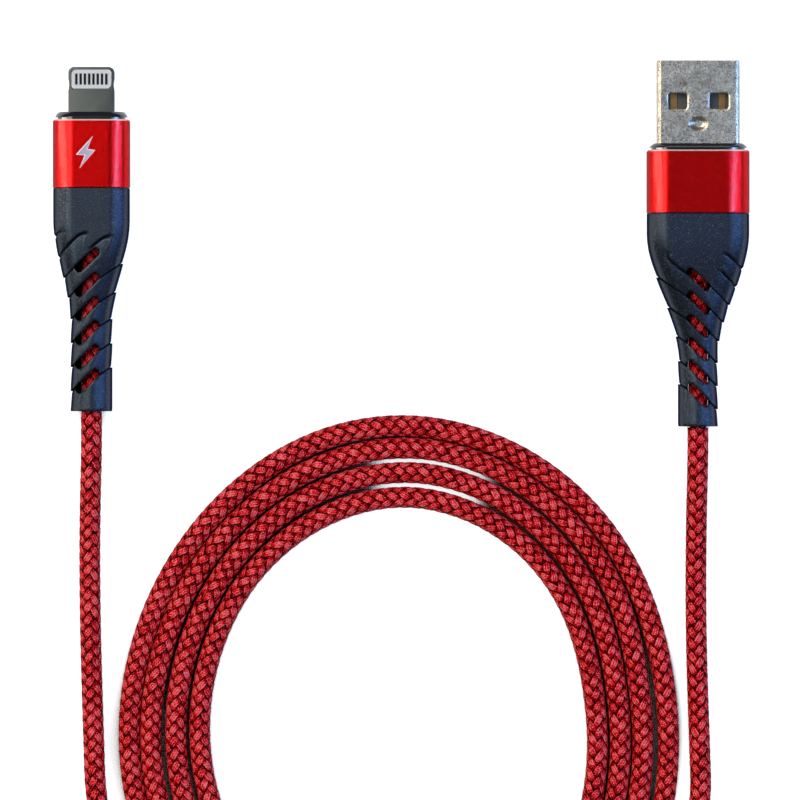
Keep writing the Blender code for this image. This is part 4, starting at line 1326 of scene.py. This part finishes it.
def makeShell():
    back, front = spanAlong("usb_shell", usbMouth)
    width, height, corner = shell["size"]
    wide = round((width - 2 * corner) / shell["grid"])
    counts = {"cornerPoints": 9, "sidePoints": wide}

    def ring(size, along):
        flat = outline(*size, **counts)
        half, up = size[0] / 2 - size[2], size[1] / 2
        points = flat.copy()
        flatPart = np.abs(np.abs(points[:, 1]) - up) < 1e-9
        sides = np.sign(points[:, 1])
        for side in (1, -1):
            picked = np.where(flatPart & (sides == side))[0]
            points[picked, 0] = np.linspace(points[picked[0], 0], points[picked[-1], 0],
                                            len(picked))
            points[picked, 1] -= side * pressed(points[picked, 0], front - along, side)
        return np.c_[points[:, 0], np.full(len(points), along), points[:, 1]]

    inner = inset(shell["size"], shell["wall"])
    inner = (inner[0], inner[1], max(inner[2], shell["innerCorner"]))
    rim = shell["rim"]
    places = np.linspace(front - 2 * rim, back, round((front - back) / shell["grid"]))
    rings = [ring(inset(shell["size"], rim), front),
             ring(inset(shell["size"], rim * 0.3), front - rim * 0.35),
             ring(shell["size"], front - rim)]
    rings += [ring(shell["size"], place) for place in places]
    rings += [ring(inner, place) for place in places[::-1]]
    rings += [ring(inner, front - rim), ring(inset(inner, -rim * 0.5), front)]
    windows = []
    for across in (-shell["windowAcross"], shell["windowAcross"]):
        flat = outline(*shell["windowSize"], shell["windowCorner"], cornerPoints=9, sidePoints=2)
        windows.append(upright("window", flat + (across, front - shell["windowMiddle"]),
                               (-shell["cutReach"], shell["cutReach"]), usbMouth))
    mesh = cutOut(skinOf("usbShell", rings, usbMouth), windows)
    addPlugPiece("usbShell", mesh, steel, "stamped_steel", "usb_shell")
    print(f"usbShell: {len(mesh.polygons)} faces")


makeShell()


# Phone blade: a metal frame with rounded corners and detents, and the pad in its window
blade = {
    "size": (6.7 * mm, 1.5 * mm),
    "corner": 0.85 * mm,
    "edge": 0.10 * mm,
    "detentDepth": 0.12 * mm,
    "detentLength": 1.9 * mm,
    "detentMiddle": 2.6 * mm,      # behind the tip
    "detentSweep": 1.3,
    "padSize": (5.85 * mm, 2.85 * mm),
    "padCorner": 0.7 * mm,
    "padIn": 0.35 * mm,            # behind the tip
    "snug": 0.06 * mm,
    "tail": (4.6 * mm, 0.6 * mm),  # of the contact insert, in a channel of its own
    "cutReach": 2.0 * mm,
    "overrun": 1.0 * mm,
    "sideSteps": 90,
    "cornerSteps": 14,
    "edgeSteps": 13,
}


def bladePlan(back, tip):
    half, corner = blade["size"][0] / 2, blade["corner"]
    along = np.linspace(back, tip - corner, blade["sideSteps"])
    reach = (along - (tip - blade["detentMiddle"])) / (blade["detentLength"] / 2)
    reach = np.clip(reach, -1, 1)
    side = half - blade["detentDepth"] * np.cos(reach * math.pi / 2) ** blade["detentSweep"]
    angles = np.linspace(0, math.pi / 2, blade["cornerSteps"])[1:]
    right = np.vstack([np.c_[side, along],
                       np.c_[half - corner + corner * np.cos(angles),
                             tip - corner + corner * np.sin(angles)]])
    left = right[::-1] * (-1, 1)
    return np.vstack([right, left])


def drawnIn(flat, amount):
    tangent = np.roll(flat, -1, axis=0) - np.roll(flat, 1, axis=0)
    tangent /= np.linalg.norm(tangent, axis=1, keepdims=True)
    return flat + np.c_[-tangent[:, 1], tangent[:, 0]] * amount


def makeBlade():
    back, tip = spanAlong("phone_blade", phoneMouth)
    plan = bladePlan(back, tip)
    half, edge = blade["size"][1] / 2, blade["edge"]
    rings = []
    for angle in np.linspace(-math.pi / 2, math.pi / 2, blade["edgeSteps"]):
        amount = edge * (1 - abs(math.cos(angle)))
        height = (half - edge) * np.sign(angle) + edge * math.sin(angle)
        flat = drawnIn(plan, amount)
        flat[[0, -1], 1] = back
        rings.append(np.c_[flat, np.full(len(flat), height)])
    body = skinOf("phoneBlade", rings, phoneMouth, closed=False)
    middle = tip - blade["padIn"] - blade["padSize"][1] / 2
    window = outline(*blade["padSize"], blade["padCorner"], cornerPoints=10, sidePoints=2)
    tailWide, tailThick = blade["tail"]
    start, reach = back - blade["overrun"], blade["cutReach"]
    channel = outline(tailWide + 2 * blade["snug"], middle - start, 0.02 * mm,
                      cornerPoints=2, sidePoints=1) + (0, (start + middle) / 2)
    slot = tailThick / 2 + blade["snug"]
    mesh = cutOut(body, [upright("window", window + (0, middle), (-reach, reach), phoneMouth)])
    mesh = cutOut(mesh, [upright("channel", channel, (-slot, slot), phoneMouth)])
    addPlugPiece("phoneBlade", mesh, bladeMetal, "blade_steel", "phone_blade")


makeBlade()


# CAD nodes that stay, each in its own finish
finishes = {
    "usb_tongue": tongueBlack, "phone_contact_insert": insertGrey,
    "usb_inner_mould": mouldWhite, "phone_inner_mould": mouldWhite,
    "usb_jacket_end": jacketDark, "phone_jacket_end": jacketDark,
    "usb_cable_crimp": steel, "phone_cable_crimp": steel,
    "phone_circuit_board": boardGreen, "phone_chip": contactDark,
}
finishes.update({f"usb_contact_{number}": gold for number in range(1, 5)})
for side in ("top", "bottom"):
    finishes.update({f"phone_contact_{side}_{number}": contactDark for number in range(1, 9)})
for plug in ("usb", "phone"):
    finishes.update({f"{plug}_wire_{colour}": look for colour, look in wireLooks.items()})
for node, look in finishes.items():
    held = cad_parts[node]
    held.data.materials.clear()
    held.data.materials.append(look)
print(f"plugs made, {len(finishes)} plain nodes given their finish")


# Floor, backdrop and light
studio = {
    "floorSize": 40.0,
    "floorColour": (0.58, 0.58, 0.58),
    # painted shade, dark red, on the floor between turns and under the boots
    "shutShadeColour": (0.060, 0.004, 0.005),    # floor between turns and under the boots
    "floorGlow": 0.90,          # what whitens the open floor, for the eye and in reflections
    "skyReach": 12.0 * mm,      # how far round it a spot of floor looks for walls
    "skyRays": 12,
    "skyRange": (0.37, 0.48),   # share of open sky at which the glow starts and is whole
    "coilMiddle": (-1.0 * mm, -70.8 * mm, 0.0),
    # Painted light in the wide gaps at the coil's top, but not in the outermost one.
    "topHeading": (0.14, 0.99, 0.0),
    "topSpread": (0.958, 0.990),            # cosine of the angle from that heading
    "topWithin": (40.5 * mm, 41.6 * mm),
    "topPaintedLight": 0.36,
    # Painted light on the floor outside the coil too, not on the strips the boots' slots look down
    # on.
    "coilHalf": (42.3 * mm, 47.8 * mm),
    "coilEdge": (0.975, 0.995),
    "outsidePaintedLight": 0.22,
    "stripHalf": 2.0 * mm,
    "stripEnd": -26.6 * mm,
    "worldLight": 0.16,
    "lamps": (
        # name, place, size, power, colour; each is turned to the middle of the plugs
        ("left", (-0.95, 0.05, 0.44), (0.03, 1.5), 3.5, (1.0, 0.92, 0.80)),
        ("right", (0.70, 0.05, 0.74), (0.03, 1.3), 5.0, (0.30, 0.52, 1.0)),
        ("rightSoft", (0.95, 0.0, 0.45), (0.5, 1.3), 3.0, (0.10, 0.32, 1.0)),
        ("above", (-0.50, 0.35, 1.3), (0.7, 0.7), 9.2, (1.0, 0.96, 0.90)),
    ),
}


# Paper that takes shadows and glows where it's open, with painted shade, dark red, where it's shut
# in.
def floorMaterial():
    material, wires, shader = newMaterial("floorPaper", roughness=0.9,
                                          Emission_Color=(1, 1, 1, 1))
    place = objectPlace(wires)
    spot = wires.vector("SUBTRACT", place, studio["coilMiddle"])
    facing = wires.vector("DOT_PRODUCT", wires.vector("NORMALIZE", spot), studio["topHeading"])
    # painted light in the coil's top gaps
    top = wires.spread(facing, *studio["topSpread"], 0.0, studio["topPaintedLight"], kind="SMOOTHSTEP")
    within = wires.spread(wires.vector("LENGTH", spot), *studio["topWithin"], 1.0, 0.0)
    halfWide, halfLong = studio["coilHalf"]
    oval = wires.vector("MULTIPLY", spot, (1 / halfWide, 1 / halfLong, 0.0))
    outside = wires.spread(wires.vector("LENGTH", oval), *studio["coilEdge"],
                           0.0, studio["outsidePaintedLight"])
    parts = wires.node("ShaderNodeSeparateXYZ", {"Vector": place}).outputs
    aside = [wires.math("ABSOLUTE", wires.math("SUBTRACT", parts["X"], float(mouth.x)))
             for mouth in (phoneMouth, usbMouth)]
    clear = wires.math("MAXIMUM", wires.math("LESS_THAN", parts["Y"], studio["stripEnd"]),
                       wires.math("GREATER_THAN", wires.math("MINIMUM", *aside),
                                  studio["stripHalf"]))
    sky = wires.node("ShaderNodeAmbientOcclusion", {"Distance": studio["skyReach"]},
                     samples=studio["skyRays"]).outputs["AO"]
    # painted light outside the coil, but not on the strips under the boots' slots
    sky = wires.math("MULTIPLY_ADD", outside, clear, sky)
    sky = wires.math("MULTIPLY_ADD", top, within, sky)
    openness = wires.spread(sky, *studio["skyRange"], kind="SMOOTHSTEP")
    paths = wires.node("ShaderNodeLightPath").outputs
    seen = wires.math("MAXIMUM", paths["Is Camera Ray"], paths["Is Glossy Ray"])
    seen = wires.math("MAXIMUM", seen, paths["Is Transmission Ray"])
    glow = wires.math("MULTIPLY", wires.math("MULTIPLY", seen, openness), studio["floorGlow"])
    # painted shade, dark red, where the floor is shut in
    paper = blend(wires, openness, studio["shutShadeColour"], studio["floorColour"])
    dress(wires, shader, Base_Color=paper, Emission_Strength=glow)
    return material


def makeFloor():
    mesh = bpy.data.meshes.new("floor")
    half = studio["floorSize"] / 2
    mesh.from_pydata([(-half, -half, 0), (half, -half, 0), (half, half, 0), (-half, half, 0)],
                     [], [(0, 1, 2, 3)])
    mesh.materials.append(floorMaterial())
    newObject("floor", mesh)


def makeLamps():
    aim = Vector((*view["middle"], 0))
    for name, place, size, power, colour in studio["lamps"]:
        lamp = bpy.data.lights.new(name, "AREA")
        lamp.shape = "RECTANGLE"
        lamp.size, lamp.size_y = size
        lamp.energy = power
        lamp.color = colour
        holder = newObject(name, lamp)
        holder.location = place
        holder.rotation_euler = (aim - Vector(place)).to_track_quat("-Z", "Y").to_euler()
        holder.visible_camera = False


def makeWorld():
    world = bpy.data.worlds.new("world")
    bpy.context.scene.world = world
    world.use_nodes = True
    back = world.node_tree.nodes["Background"]
    back.inputs["Color"].default_value = (1, 1, 1, 1)
    back.inputs["Strength"].default_value = studio["worldLight"]


makeFloor()
makeLamps()
makeWorld()
bpy.context.scene.view_settings.view_transform = "Standard"
print(f"studio made, {len(studio['lamps'])} lamps")
